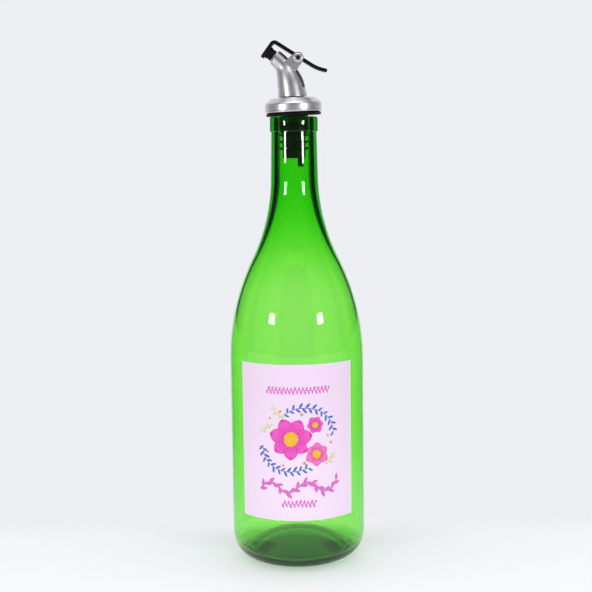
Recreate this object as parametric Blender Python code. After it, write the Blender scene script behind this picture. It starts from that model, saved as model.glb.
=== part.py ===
"""Oil dispenser bottle: a hollow green glass bottle with a paper label and a lever pourer in its mouth.

Metres, +Z up. The origin is on the floor under the middle of the base, the label faces -Y and the
pourer's mouth looks towards -X. The pourer is pushed in slightly askew, so its parts hang on an empty
that leans with it, and the lever turns on a second empty at its hinge pin.
"""

import math

import bmesh
import bpy
from mathutils import Matrix, Quaternion, Vector

MM = 0.001
GAP = 0.3 * MM

# Glass: a turned body with a kick-up base, long sloping shoulders and a ring round its mouth
BODY_RADIUS = 41.75 * MM
HEEL_WIDTH = 12.0 * MM
HEEL_HEIGHT = 15.0 * MM
RING_WIDTH = 1.6 * MM
PUNT_HEIGHT = 10.0 * MM
SHOULDER_Z = 123.7 * MM
SHOULDER_RADIUS = 143.5 * MM
SHOULDER_ANGLE = math.radians(26.07)
SHOULDER_STEPS = 8
SHOULDER_STRAIGHT = 2.2 * MM
THROAT_RADIUS = 114.7 * MM
NECK_TAPER = math.radians(1.15)
MOUTH_RING_Z = 265.0 * MM
MOUTH_RING_RADIUS = 14.75 * MM
MOUTH_RING_ROUND = 1.0 * MM
MOUTH_Z = 274.1 * MM
WALL = 1.6 * MM
NECK_WALL = 4.3 * MM
WALL_THICKENS = (160 * MM, 240 * MM)
BORE_RADIUS = 9.7 * MM
FLOOR_THICKNESS = 4.0 * MM
VALLEY_Z = 4.5 * MM
INNER_HEEL_WIDTH = 10.5 * MM
INNER_HEEL_HEIGHT = 12.5 * MM

# Label, its edges as angles round the bottle from the front
LABEL_Z = (32.6 * MM, 127.5 * MM)
LABEL_ANGLES = (math.radians(-52.0), math.radians(50.5))
LABEL_THICKNESS = 0.2 * MM

# Pourer as a whole: where it pivots on the mouth and how it leans
POURER_Z = 275.4 * MM
LEAN_LEFT = math.radians(2.15)
LEAN_FORWARD = math.radians(2.0)

# Stopper: a soft plug with ribs, a flange on the glass and a head inside the collar
PLUG_RADIUS = 7.0 * MM
PLUG_BOTTOM = -26.5 * MM
RIB_RADIUS = 9.4 * MM
RIB_TOP_Z = -12.8 * MM
RIB_PITCH = 4.05 * MM
RIB_COUNT = 3
RIB_ROOT = 1.8 * MM
RIB_TIP = 0.8 * MM
RIB_LIFT = 0.5 * MM
PLUG_SHOULDER = 8.7 * MM
FLANGE_RADIUS = 16.8 * MM
FLANGE_Z = (-0.15 * MM, 1.35 * MM)
HEAD_RADIUS = 15.7 * MM
BORE_X = -2.4 * MM
POUR_BORE_RADIUS = 3.4 * MM

# Breather tube that hangs from the plug
TUBE_RADIUS = 1.83 * MM
TUBE_BORE = 1.1 * MM
TUBE_X = 4.0 * MM
TUBE_Z = (-31.6 * MM, -19.0 * MM)

# Steel collar
COLLAR_RADIUS = 17.3 * MM
COLLAR_Z = (1.65 * MM, 6.95 * MM)
COLLAR_CREST_RADIUS = 13.9 * MM
COLLAR_CREST_Z = 10.0 * MM
COLLAR_TOP_Z = 10.7 * MM
COLLAR_HOLE = 7.2 * MM
COLLAR_WALL = 1.0 * MM

# Spout: front and back edge of each section, as (x, z) beside the pourer's axis
SPOUT_EDGES = (
    ((-8.9, 11.0), (8.9, 11.0)),
    ((-8.85, 15.6), (8.05, 15.9)),
    ((-9.0, 20.2), (6.85, 20.9)),
    ((-9.05, 24.2), (4.7, 25.5)),
    ((-9.3, 27.0), (1.3, 30.3)),
    ((-10.8, 29.2), (-2.5, 34.9)),
    ((-12.8, 31.3), (-6.6, 38.75)),
)
SPOUT_WALL = 1.0 * MM
SPOUT_SECTIONS_BETWEEN = 2
LIP_HEIGHT = 0.5 * MM
LIP_WALL = 0.9 * MM
LIP_DEPTH = 5.0 * MM
STRIP_ANGLE = math.radians(35.0)
STRIP_SPAN = (1.1, 5.9)
STRIP_STEPS = 14
STRIP_THICKNESS = 0.9 * MM

# Ears that carry the hinge pin, beside the pourer's axis
PIN_X, PIN_Z = 4.35 * MM, 33.95 * MM
PIN_RADIUS = 1.1 * MM
PIN_LENGTH = 10.6 * MM
EAR_RADIUS = 3.4 * MM
EAR_FOOT = ((-5.2 * MM, 31.2 * MM), (3.0 * MM, 26.4 * MM))
EAR_INSIDE = (-2.0 * MM, 27.5 * MM)
EAR_FACES = (3.7 * MM, 5.0 * MM)
BOSS_RADIUS = 2.3 * MM
BOSS_HEIGHT = 0.35 * MM

# Lever: arm over the mouth, bar through the ears and a curved thumb end, all from the pin
BAR_THICKNESS = 2.2 * MM
BAR_WIDTH = 6.6 * MM
BAR_SLOPE = math.radians(-34.47)
BAR_LIFT = 0.65 * MM
BAR_REACH = 17.8 * MM
ARM_SLOPE = math.radians(51.4)
ARM_LENGTH = 12.0 * MM
CORNER_RADIUS = 2.1 * MM
BEND_STEPS = 6
THUMB_START = 9.0 * MM
THUMB_RADIUS = 25.0 * MM
THUMB_TURN = math.radians(21.5)
HUB_RADIUS = 2.5 * MM
CAP_RADII = (3.5 * MM, 3.9 * MM)
EDGE_BEVEL = 0.25 * MM

RINGS = 48
SMOOTH_ANGLE = math.radians(35)


def clear_scene():
    """Removes what the new file starts with."""
    for thing in list(bpy.data.objects):
        bpy.data.objects.remove(thing)


def finish_material(name, colour, roughness, metallic=0.0, clear=0.0):
    """A Principled material in one colour, see-through where clear is above 0."""
    material = bpy.data.materials.new(name)
    material.use_nodes = True
    shader = material.node_tree.nodes["Principled BSDF"]
    shader.inputs["Base Color"].default_value = (*colour, 1.0)
    shader.inputs["Roughness"].default_value = roughness
    shader.inputs["Metallic"].default_value = metallic
    shader.inputs["Transmission Weight"].default_value = clear
    return material


def add_object(name, bm, material=None, parent=None, location=(0, 0, 0), tool=False):
    """Turns a bmesh into a named object with its faces out. A tool only cuts or joins others."""
    bmesh.ops.recalc_face_normals(bm, faces=bm.faces)
    mesh = bpy.data.meshes.new(name)
    bm.to_mesh(mesh)
    bm.free()
    mesh.shade_smooth()
    mesh.set_sharp_from_angle(angle=SMOOTH_ANGLE)
    thing = bpy.data.objects.new(name, mesh)
    bpy.context.scene.collection.objects.link(thing)
    thing.parent = parent
    thing.location = location
    if material:
        mesh.materials.append(material)
    if tool:
        thing.hide_render = True
        thing.display_type = "WIRE"
    return thing


def add_empty(name, parent=None, location=(0, 0, 0)):
    """An empty that other parts hang on."""
    empty = bpy.data.objects.new(name, None)
    bpy.context.scene.collection.objects.link(empty)
    empty.parent = parent
    empty.location = location
    return empty


def combine(target, tool, operation):
    """Adds a Boolean that joins the tool to the target or cuts it out."""
    modifier = target.modifiers.new(f"{operation.lower()} {tool.name}", "BOOLEAN")
    modifier.operation = operation
    modifier.solver = "EXACT"
    modifier.object = tool


def arc(centre, radii, start, end, steps):
    """Points on an ellipse's arc, from the angle start to the angle end."""
    angles = [start + (end - start) * i / steps for i in range(steps + 1)]
    return [(centre[0] + radii[0] * math.cos(a), centre[1] + radii[1] * math.sin(a)) for a in angles]


def smooth_step(low, high, value):
    """0 below low, 1 above high and an S-shaped rise between."""
    t = min(1.0, max(0.0, (value - low) / (high - low)))
    return t * t * (3 - 2 * t)


def turned(profile, segments=RINGS, closed=False):
    """A body of revolution about Z from (radius, height) points, closed where the profile is a loop."""
    bm = bmesh.new()
    verts = [bm.verts.new((r, 0, z)) for r, z in profile]
    edges = [bm.edges.new(pair) for pair in zip(verts, verts[1:])]
    if closed:
        edges.append(bm.edges.new((verts[-1], verts[0])))
    bmesh.ops.spin(
        bm, geom=verts + edges, cent=(0, 0, 0), axis=(0, 0, 1), angle=math.tau, steps=segments
    )
    bmesh.ops.remove_doubles(bm, verts=bm.verts, dist=1e-6)
    return bm


def outer_wall():
    """The bottle's outside from the top of the heel to the mouth ring: two tangent arcs and the neck."""
    turn = SHOULDER_ANGLE
    shoulder = arc((BODY_RADIUS - SHOULDER_RADIUS, SHOULDER_Z), (SHOULDER_RADIUS,) * 2, 0, turn, SHOULDER_STEPS)
    x, z = shoulder[-1]
    x -= SHOULDER_STRAIGHT * math.sin(turn)
    z += SHOULDER_STRAIGHT * math.cos(turn)
    centre = (x + THROAT_RADIUS * math.cos(turn), z + THROAT_RADIUS * math.sin(turn))
    throat = arc(centre, (THROAT_RADIUS,) * 2, math.pi + turn, math.pi + NECK_TAPER, 7)
    neck_radius = throat[-1][0] - (MOUTH_RING_Z - throat[-1][1]) * math.tan(NECK_TAPER)
    return [(BODY_RADIUS, HEEL_HEIGHT), *shoulder, *throat, (neck_radius, MOUTH_RING_Z)]


def inner_wall(outside):
    """The inside that goes with those points, below the mouth: the wall thickens into the neck."""
    wall = []
    for radius, z in outside[:-1]:
        thickness = WALL + (NECK_WALL - WALL) * smooth_step(*WALL_THICKENS, z)
        wall.append((radius - thickness, z))
    return wall


def punt_dome(edge, top, steps):
    """A shallow dome from the middle of the base out to its edge."""
    rise = top - edge[1]
    radius = (edge[0] ** 2 + rise**2) / (2 * rise)
    reach = math.asin(edge[0] / radius)
    centre = (0, top - radius)
    points = arc(centre, (radius,) * 2, math.pi / 2, math.pi / 2 - reach, steps)
    return [(0.0, top), *points[1:]]


def lifted(point, by):
    """The point, that much higher."""
    return (point[0], point[1] + by)


def make_glass(material):
    """The glass as three solids, a gap apart: body, shoulders, and the neck with its mouth ring.

    Each is a plain hollow form, so that its collision pieces follow the wall and leave the inside open.
    """
    heel_radius = BODY_RADIUS - HEEL_WIDTH
    underside = punt_dome((heel_radius - RING_WIDTH, 0.0), PUNT_HEIGHT, 4)
    heel = arc((heel_radius, HEEL_HEIGHT), (HEEL_WIDTH, HEEL_HEIGHT), -math.pi / 2, 0, 6)[:-1]
    ring, rounded = MOUTH_RING_RADIUS, MOUTH_RING_ROUND
    low = arc((ring - rounded / 2, MOUTH_RING_Z + rounded / 2), (rounded / 2,) * 2, -math.pi / 2, 0, 2)
    high = arc((ring - rounded, MOUTH_Z - rounded), (rounded,) * 2, 0, math.pi / 2, 3)
    mouth = [(BORE_RADIUS + rounded, MOUTH_Z), (BORE_RADIUS, MOUTH_Z - rounded)]
    inner_radius = BODY_RADIUS - WALL
    inner_heel_centre = (inner_radius - INNER_HEEL_WIDTH, VALLEY_Z + INNER_HEEL_HEIGHT)
    inner_heel = arc(inner_heel_centre, (INNER_HEEL_WIDTH, INNER_HEEL_HEIGHT), 0, -math.pi / 2, 4)
    dome = punt_dome(inner_heel[-1], PUNT_HEIGHT + FLOOR_THICKNESS, 4)
    foot, *outer = outer_wall()
    inner = inner_wall(outer)
    half, last = GAP / 2, SHOULDER_STEPS
    rim = [lifted(outer[0], -half), lifted(inner[0], -half)]
    body = [*underside, *heel, foot, *rim, *inner_heel, *reversed(dome[:-1])]
    shoulders = [lifted(outer[0], half), *outer[1:last], lifted(outer[last], -half)]
    shoulders += [lifted(inner[last], -half), *reversed(inner[1:last]), lifted(inner[0], half)]
    neck = [lifted(outer[last], half), *outer[last + 1 :], *low, *high, *mouth]
    neck += [*reversed(inner[last + 1 :]), lifted(inner[last], half)]
    add_object("glass_body", turned(body), material)
    add_object("glass_shoulders", turned(shoulders, closed=True), material)
    add_object("glass_neck", turned(neck, closed=True), material)


def make_label(material):
    """A sheet of paper round the front of the glass."""
    inner = BODY_RADIUS + GAP
    outer = inner + LABEL_THICKNESS
    start, end = (angle - math.pi / 2 for angle in LABEL_ANGLES)
    bm = bmesh.new()
    corners = [(inner, LABEL_Z[0]), (outer, LABEL_Z[0]), (outer, LABEL_Z[1]), (inner, LABEL_Z[1])]
    face = bm.faces.new([bm.verts.new((r, 0, z)) for r, z in corners])
    bmesh.ops.rotate(bm, verts=bm.verts, cent=(0, 0, 0), matrix=Matrix.Rotation(start, 3, "Z"))
    geometry = [face, *face.edges, *face.verts]
    bmesh.ops.spin(bm, geom=geometry, cent=(0, 0, 0), axis=(0, 0, 1), angle=end - start, steps=16)
    return add_object("label", bm, material)


def lean():
    """How the pourer leans: its -X side sinks and its top comes forward."""
    return Quaternion((1, 0, 0), LEAN_FORWARD) @ Quaternion((0, 1, 0), -LEAN_LEFT)


def stopper_profile():
    """The plug from its bottom up: ribs, flange on the glass and the head that fills the collar."""
    points = [(0, PLUG_BOTTOM), (PLUG_RADIUS - 0.6 * MM, PLUG_BOTTOM), (PLUG_RADIUS, PLUG_BOTTOM + 0.6 * MM)]
    for i in reversed(range(RIB_COUNT)):
        middle = RIB_TOP_Z - i * RIB_PITCH
        points += [
            (PLUG_RADIUS, middle - RIB_ROOT / 2),
            (RIB_RADIUS, middle + RIB_LIFT - RIB_TIP / 2),
            (RIB_RADIUS, middle + RIB_LIFT + RIB_TIP / 2),
            (PLUG_RADIUS, middle + RIB_ROOT / 2),
        ]
    low, high = FLANGE_Z
    droop = 0.35 * MM
    points += [
        (PLUG_SHOULDER, RIB_TOP_Z + RIB_ROOT),
        (PLUG_SHOULDER, low),
        (FLANGE_RADIUS - 1.4 * MM, low),
        (FLANGE_RADIUS, low - droop),
        (FLANGE_RADIUS, high),
        (HEAD_RADIUS, high),
        (HEAD_RADIUS, COLLAR_Z[1] - COLLAR_WALL),
        (COLLAR_CREST_RADIUS - COLLAR_WALL, COLLAR_CREST_Z - COLLAR_WALL - 2 * GAP),
        (0, COLLAR_CREST_Z - COLLAR_WALL - 2 * GAP),
    ]
    return points


def make_stopper(material):
    """The plug stands upright in the neck and leans from the mouth up, with a pouring bore through it."""
    bm = turned(stopper_profile(), 32)
    for vert in bm.verts:
        share = smooth_step(-8 * MM, -0.5 * MM, vert.co.z)
        vert.co = Quaternion().slerp(lean(), share) @ vert.co
    stopper = add_object("stopper", bm, material, location=(0, 0, POURER_Z))
    pouring = cylinder("pouring_bore", POUR_BORE_RADIUS, (BORE_X, 0, -9 * MM), 42 * MM, 20)
    socket_top = TUBE_Z[1] + GAP
    socket_length = socket_top - PLUG_BOTTOM + MM
    socket_middle = (TUBE_X, 0, socket_top - socket_length / 2)
    socket = cylinder("tube_socket", TUBE_RADIUS + GAP, socket_middle, socket_length, 16)
    for tool in (pouring, socket):
        tool.parent = stopper
        combine(stopper, tool, "DIFFERENCE")
    return stopper


def cylinder(name, radius, centre, length, segments, along="Z"):
    """A cylinder that cuts or joins others, along Z or Y."""
    bm = bmesh.new()
    bmesh.ops.create_cone(bm, cap_ends=True, segments=segments, radius1=radius, radius2=radius, depth=length)
    if along == "Y":
        bmesh.ops.rotate(bm, verts=bm.verts, cent=(0, 0, 0), matrix=Matrix.Rotation(math.pi / 2, 3, "X"))
    return add_object(name, bm, location=centre, tool=True)


def make_tube(material):
    """The breather tube below the plug, open at both ends."""
    low, high = TUBE_Z
    profile = [(TUBE_BORE, high), (TUBE_RADIUS, high), (TUBE_RADIUS, low), (TUBE_BORE, low)]
    bm = turned(profile, 16, closed=True)
    return add_object("breather_tube", bm, material, location=(TUBE_X, 0, POURER_Z))


def make_collar(material, pourer):
    """The steel collar: a band with a rolled lower edge, a sloping top and a hole for the spout."""
    low, high = COLLAR_Z
    roll = 0.7 * MM
    band = COLLAR_RADIUS
    inside = HEAD_RADIUS + GAP
    hole_z = COLLAR_TOP_Z - COLLAR_WALL
    profile = [
        (COLLAR_HOLE, COLLAR_TOP_Z),
        (COLLAR_CREST_RADIUS - MM, COLLAR_CREST_Z + 0.15 * MM),
        (COLLAR_CREST_RADIUS, COLLAR_CREST_Z - 0.25 * MM),
        (band - 0.3 * MM, high),
        *arc((band - roll, low + roll), (roll, roll), math.radians(60), math.radians(-90), 6)[1:],
        (inside, low),
        (inside, high - COLLAR_WALL + GAP),
        (COLLAR_CREST_RADIUS - COLLAR_WALL / 2, COLLAR_CREST_Z - COLLAR_WALL),
        (COLLAR_HOLE, hole_z),
    ]
    profile.insert(4, (band, high - 0.35 * MM))
    return add_object("collar", turned(profile, RINGS, closed=True), material, pourer)


def spline(points, between):
    """A smooth curve through the points, with so many steps from each point to the next."""
    ends = [points[0] * 2 - points[1], *points, points[-1] * 2 - points[-2]]
    curve = []
    for a, b, c, d in zip(ends, ends[1:], ends[2:], ends[3:]):
        for i in range(between):
            t = i / between
            curve.append(
                b + (c - a) * (t / 2) + (a - b * 2.5 + c * 2 - d / 2) * t**2 + (b * 1.5 - c * 1.5 + (d - a) / 2) * t**3
            )
    return [*curve, points[-1].copy()]


def spout_sections(between=SPOUT_SECTIONS_BETWEEN):
    """The spout's sections as (front edge, back edge) pairs on a smooth run."""
    fronts = spline([Vector((front[0], 0, front[1])) * MM for front, _ in SPOUT_EDGES], between)
    backs = spline([Vector((back[0], 0, back[1])) * MM for _, back in SPOUT_EDGES], between)
    return list(zip(fronts, backs))


def section_place(front, back):
    """A section's middle, its radius and a matrix whose X runs to the back edge and Z along the spout."""
    across = (back - front).normalized()
    along = across.cross(Vector((0, 1, 0)))
    turn = Matrix((across, Vector((0, 1, 0)), along)).transposed()
    middle = (front + back) / 2
    return middle, (back - front).length / 2, Matrix.Translation(middle) @ turn.to_4x4()


def loft(sections, segments=32):
    """A closed body through circles, each given as (matrix, radius)."""
    bm = bmesh.new()
    loops = []
    for matrix, radius in sections:
        made = bmesh.ops.create_circle(bm, segments=segments, radius=radius, matrix=matrix)
        loops.append(made["verts"])
    for low, high in zip(loops, loops[1:]):
        rims = [edge for edge in bm.edges if edge.verts[0] in low and edge.verts[1] in low]
        rims += [edge for edge in bm.edges if edge.verts[0] in high and edge.verts[1] in high]
        bmesh.ops.bridge_loops(bm, edges=rims)
    bm.faces.new(loops[0])
    bm.faces.new(loops[-1])
    return bm


def spout_core(inset, past_base, past_mouth):
    """Circles for what fills the spout, inset from its surface and reaching past both ends."""
    places = [section_place(front, back) for front, back in spout_sections()]
    circles = [(matrix, radius - inset) for _, radius, matrix in places]
    first, last = circles[0], circles[-1]
    below = (Matrix.Translation((0, 0, -past_base)) @ first[0], first[1])
    beyond = (last[0] @ Matrix.Translation((0, 0, past_mouth)), last[1])
    return [below, *circles, beyond]


def make_strip(name, grow, material=None, parent=None, tool=False):
    """The strip in the spout's back, or with grow above 0 the slot that takes it."""
    first, last = STRIP_SPAN
    steps = STRIP_STEPS
    edges = SPOUT_EDGES
    fronts = [Vector((front[0], 0, front[1])) * MM for front, _ in edges]
    backs = [Vector((back[0], 0, back[1])) * MM for _, back in edges]
    fine = 20
    front_run, back_run = spline(fronts, fine), spline(backs, fine)
    angle = STRIP_ANGLE + (grow / (7 * MM) if tool else 0)
    bm = bmesh.new()
    grid = []
    for i in range(steps + 1):
        share = first + (last - first) * i / steps
        index = round(share * fine)
        if tool and i in (0, steps):
            index += round((-1 if i == 0 else 1) * grow / (0.25 * MM))
        _, radius, matrix = section_place(front_run[index], back_run[index])
        outer = radius + (2 * MM if tool else 0)
        inner = radius - STRIP_THICKNESS - (0.6 * MM if tool else 0)
        row = []
        for reach in (outer, inner):
            for k in range(7):
                a = angle * (k / 3 - 1)
                row.append(bm.verts.new(matrix @ Vector((reach * math.cos(a), reach * math.sin(a), 0))))
        grid.append(row[:7] + row[:6:-1])
    count = len(grid[0])
    for low, high in zip(grid, grid[1:]):
        for k in range(count):
            bm.faces.new((low[k], low[(k + 1) % count], high[(k + 1) % count], high[k]))
    bm.faces.new(grid[0])
    bm.faces.new(grid[-1])
    return add_object(name, bm, material, parent, tool=tool)


def ear_outline():
    """One ear's outline as (x, z): straight edges from its feet, tangent to the round end at the pin."""
    pin = Vector((PIN_X, PIN_Z))
    tangents = []
    for foot, side in ((Vector(EAR_FOOT[0]), -1), (Vector(EAR_FOOT[1]), 1)):
        away = foot - pin
        half = math.acos(EAR_RADIUS / away.length)
        tangents.append(math.atan2(away.y, away.x) + side * half)
    start, end = tangents[1], tangents[0] % math.tau
    round_end = arc(pin, (EAR_RADIUS,) * 2, start, end, 9)
    return [EAR_INSIDE, EAR_FOOT[1], *round_end, EAR_FOOT[0]]


def plate(outline, inner, outer, bm=None):
    """A flat plate with that (x, z) outline, between two places along Y."""
    bm = bm or bmesh.new()
    face = bm.faces.new([bm.verts.new((x, inner, z)) for x, z in outline])
    made = bmesh.ops.extrude_face_region(bm, geom=[face], use_keep_orig=True)
    moved = [item for item in made["geom"] if isinstance(item, bmesh.types.BMVert)]
    bmesh.ops.translate(bm, verts=moved, vec=(0, outer - inner, 0))
    return bm


def make_spout(material, pourer):
    """The steel spout: a bent tapering tube with two ears, bored through, slotted behind and drilled."""
    places = [section_place(front, back) for front, back in spout_sections()]
    spout = add_object("spout", loft([(matrix, radius) for _, radius, matrix in places]), material, pourer)
    ears = plate(ear_outline(), EAR_FACES[0], EAR_FACES[1])
    plate(ear_outline(), -EAR_FACES[1], -EAR_FACES[0], ears)
    ear_plates = add_object("ear_plates", ears, parent=pourer, tool=True)
    combine(spout, ear_plates, "UNION")
    for side in (-1, 1):
        middle = side * (EAR_FACES[1] + (BOSS_HEIGHT - MM) / 2)
        boss = cylinder(f"boss_{side}", BOSS_RADIUS, (PIN_X, middle, PIN_Z), BOSS_HEIGHT + MM, 20, "Y")
        boss.parent = pourer
        combine(spout, boss, "UNION")
    channel = add_object("channel", loft(spout_core(SPOUT_WALL, MM, MM)), parent=pourer, tool=True)
    slot = make_strip("strip_slot", GAP, parent=pourer, tool=True)
    drill = cylinder("pin_hole", PIN_RADIUS + GAP, (PIN_X, 0, PIN_Z), 14 * MM, 16, "Y")
    drill.parent = pourer
    for tool in (channel, slot, drill):
        combine(spout, tool, "DIFFERENCE")
    return spout


def make_lip(material, pourer):
    """The soft ring that lines the spout's mouth and stands a little proud of it."""
    places = [section_place(front, back) for front, back in spout_sections()]
    _, radius, mouth = places[-1]
    outer = radius - SPOUT_WALL - GAP
    profile = [
        (outer - LIP_WALL, LIP_HEIGHT),
        (outer, LIP_HEIGHT),
        (outer, -LIP_DEPTH),
        (outer - LIP_WALL / 2, -LIP_DEPTH),
    ]
    bm = turned(profile, 24, closed=True)
    bm.transform(mouth)
    return add_object("mouth_lip", bm, material, pourer)


def lever_line():
    """The lever's centre line as (x, z) from the pin: arm tip, corner, bar and thumb end."""
    along = Vector((math.cos(BAR_SLOPE), math.sin(BAR_SLOPE)))
    above = Vector((-along.y, along.x))
    arm = Vector((-math.cos(ARM_SLOPE), -math.sin(ARM_SLOPE)))
    corner = along * -BAR_REACH + above * BAR_LIFT
    turn = math.pi - along.angle(arm)
    cut = CORNER_RADIUS * math.tan(turn / 2)
    centre = corner + along * cut - above * CORNER_RADIUS
    start = math.atan2(above.y, above.x)
    bend = arc(centre, (CORNER_RADIUS,) * 2, start + turn, start, BEND_STEPS)
    thumb = along * THUMB_START + above * BAR_LIFT
    thumb_centre = thumb + above * THUMB_RADIUS
    first = math.atan2(-above.y, -above.x)
    curve = arc(thumb_centre, (THUMB_RADIUS,) * 2, first, first + THUMB_TURN, 6)
    return [corner + arm * ARM_LENGTH, *map(Vector, bend), *map(Vector, curve)]


def hub_swell(height):
    """The hub's arc beyond the bar's face at that height above the pin, towards the thumb end."""
    lift = math.asin(height / HUB_RADIUS)
    end = lift if height > 0 else math.tau + lift
    return arc((0, 0), (HUB_RADIUS,) * 2, BAR_SLOPE + math.pi - lift, BAR_SLOPE + end, 6)


def lever_outline():
    """The lever's outline as (x, z) from the pin: a band of even thickness with a hub and a round thumb end."""
    line = lever_line()
    half = BAR_THICKNESS / 2
    upper, lower = [], []
    for i, point in enumerate(line):
        before, after = line[max(i - 1, 0)], line[min(i + 1, len(line) - 1)]
        way = (after - before).normalized()
        side = Vector((-way.y, way.x)) * half
        upper.append(tuple(point + side))
        lower.append(tuple(point - side))
    way = (line[-1] - line[-2]).normalized()
    heading = math.atan2(way.y, way.x)
    tip = arc(line[-1], (half, half), heading + math.pi / 2, heading - math.pi / 2, 6)[1:-1]
    bar_start = BEND_STEPS + 2
    upper[bar_start:bar_start] = hub_swell(BAR_LIFT + half)
    lower[bar_start:bar_start] = hub_swell(BAR_LIFT - half)
    return [*upper, *tip, *reversed(lower)]


def make_lever(material, hinge):
    """The lever: a bent bar with softened edges and a hole for the pin."""
    lever = add_object("lever", plate(lever_outline(), -BAR_WIDTH / 2, BAR_WIDTH / 2), material, hinge)
    rounding = lever.modifiers.new("rounded edges", "BEVEL")
    rounding.width = EDGE_BEVEL
    rounding.segments = 2
    rounding.limit_method = "ANGLE"
    rounding.angle_limit = math.radians(60)
    drill = cylinder("lever_hole", PIN_RADIUS + GAP, (0, 0, 0), 2 * BAR_WIDTH, 16, "Y")
    drill.parent = hinge
    combine(lever, drill, "DIFFERENCE")
    return lever


def make_cap(material, hinge):
    """The soft cap under the lever's arm, on the axis of the spout's mouth."""
    front, back = spout_sections()[-1]
    _, _, mouth = section_place(front, back)
    pin = Vector((PIN_X, 0, PIN_Z))
    outward = Vector((-math.sin(ARM_SLOPE), 0, math.cos(ARM_SLOPE)))
    line = lever_line()
    arm_tip = pin + Vector((line[0].x, 0, line[0].y))
    arm_face = (arm_tip - mouth.translation).dot(outward) - BAR_THICKNESS / 2
    low, high = LIP_HEIGHT + 2 * GAP, arm_face - GAP
    narrow, wide = CAP_RADII
    profile = [(0, low), (narrow - EDGE_BEVEL, low), (narrow, low + EDGE_BEVEL), (wide, high), (0, high)]
    bm = turned(profile, 24)
    bm.transform(Matrix.Translation(-pin) @ mouth)
    return add_object("seal_cap", bm, material, hinge)


def make_pin(material, pourer):
    """The hinge pin through both ears."""
    bm = bmesh.new()
    sizes = {"radius1": PIN_RADIUS, "radius2": PIN_RADIUS, "depth": PIN_LENGTH}
    bmesh.ops.create_cone(bm, cap_ends=True, segments=16, **sizes)
    bmesh.ops.rotate(bm, verts=bm.verts, cent=(0, 0, 0), matrix=Matrix.Rotation(math.pi / 2, 3, "X"))
    return add_object("hinge_pin", bm, material, pourer, (PIN_X, 0, PIN_Z))


def main():
    """Builds every part and hangs the pourer's parts on its leaning empty."""
    clear_scene()
    glass = finish_material("green_glass", (0.12, 0.62, 0.10), 0.03, clear=1.0)
    paper = finish_material("label_paper", (0.88, 0.76, 0.89), 0.6)
    silicone = finish_material("black_silicone", (0.012, 0.011, 0.014), 0.45)
    steel = finish_material("polished_steel", (0.62, 0.60, 0.62), 0.22, 1.0)
    plastic = finish_material("black_plastic", (0.010, 0.009, 0.014), 0.25)

    make_glass(glass)
    make_label(paper)
    make_stopper(silicone)
    make_tube(plastic)

    pourer = add_empty("pourer", location=(0, 0, POURER_Z))
    pourer.rotation_mode = "QUATERNION"
    pourer.rotation_quaternion = lean()
    make_collar(steel, pourer)
    make_spout(steel, pourer)
    make_strip("vent_strip", 0.0, plastic, pourer)
    make_lip(silicone, pourer)
    make_pin(plastic, pourer)

    hinge = add_empty("hinge", pourer, (PIN_X, 0, PIN_Z))
    make_lever(plastic, hinge)
    make_cap(silicone, hinge)


main()
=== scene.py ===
"""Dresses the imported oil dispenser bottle: green glass, a printed paper label and a lever pourer.

Lengths are in metres, +Z is up, the label faces -Y and the spout pours towards -X.
"""

import logging
import math
from collections.abc import Mapping, Sequence
from dataclasses import dataclass, field
from enum import Enum

import bmesh
import bpy
from mathutils import Matrix, Quaternion, Vector


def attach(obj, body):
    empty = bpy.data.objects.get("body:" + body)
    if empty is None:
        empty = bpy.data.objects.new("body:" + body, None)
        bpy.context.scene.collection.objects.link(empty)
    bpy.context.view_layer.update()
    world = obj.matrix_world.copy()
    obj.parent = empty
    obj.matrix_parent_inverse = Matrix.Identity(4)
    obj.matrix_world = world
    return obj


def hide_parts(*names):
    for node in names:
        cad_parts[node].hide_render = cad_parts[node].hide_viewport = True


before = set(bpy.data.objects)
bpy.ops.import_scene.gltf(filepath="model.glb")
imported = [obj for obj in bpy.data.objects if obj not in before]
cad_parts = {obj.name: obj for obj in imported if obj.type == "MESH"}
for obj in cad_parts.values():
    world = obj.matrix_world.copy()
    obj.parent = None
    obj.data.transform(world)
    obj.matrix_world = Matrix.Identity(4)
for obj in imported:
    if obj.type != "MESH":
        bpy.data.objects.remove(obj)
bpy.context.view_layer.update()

LOG = logging.getLogger("oil_dispenser_bottle")
MM = 0.001
PIN_PLAY = 0.15 * MM
PRINT_THICKNESS = 0.02 * MM

Colour = tuple[float, float, float]
Point2 = tuple[float, float]
Feed = "bpy.types.NodeSocket | float | int | bool | str | tuple"


class Body(Enum):
    """The rigid bodies that pieces ride on."""

    BOTTLE = "bottle"
    LEVER = "lever"


class Slot(Enum):
    """The record's material slots."""

    GLASS = "green_glass"
    PAPER = "label_paper"
    SILICONE = "black_silicone"
    STEEL = "polished_steel"
    PLASTIC = "black_plastic"


def srgb(red: int, green: int, blue: int) -> Colour:
    """Linear values of a colour given in 8 bits."""
    shares = (value / 255 for value in (red, green, blue))
    return tuple(s / 12.92 if s <= 0.04045 else ((s + 0.055) / 1.055) ** 2.4 for s in shares)


# Node sketches


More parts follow.
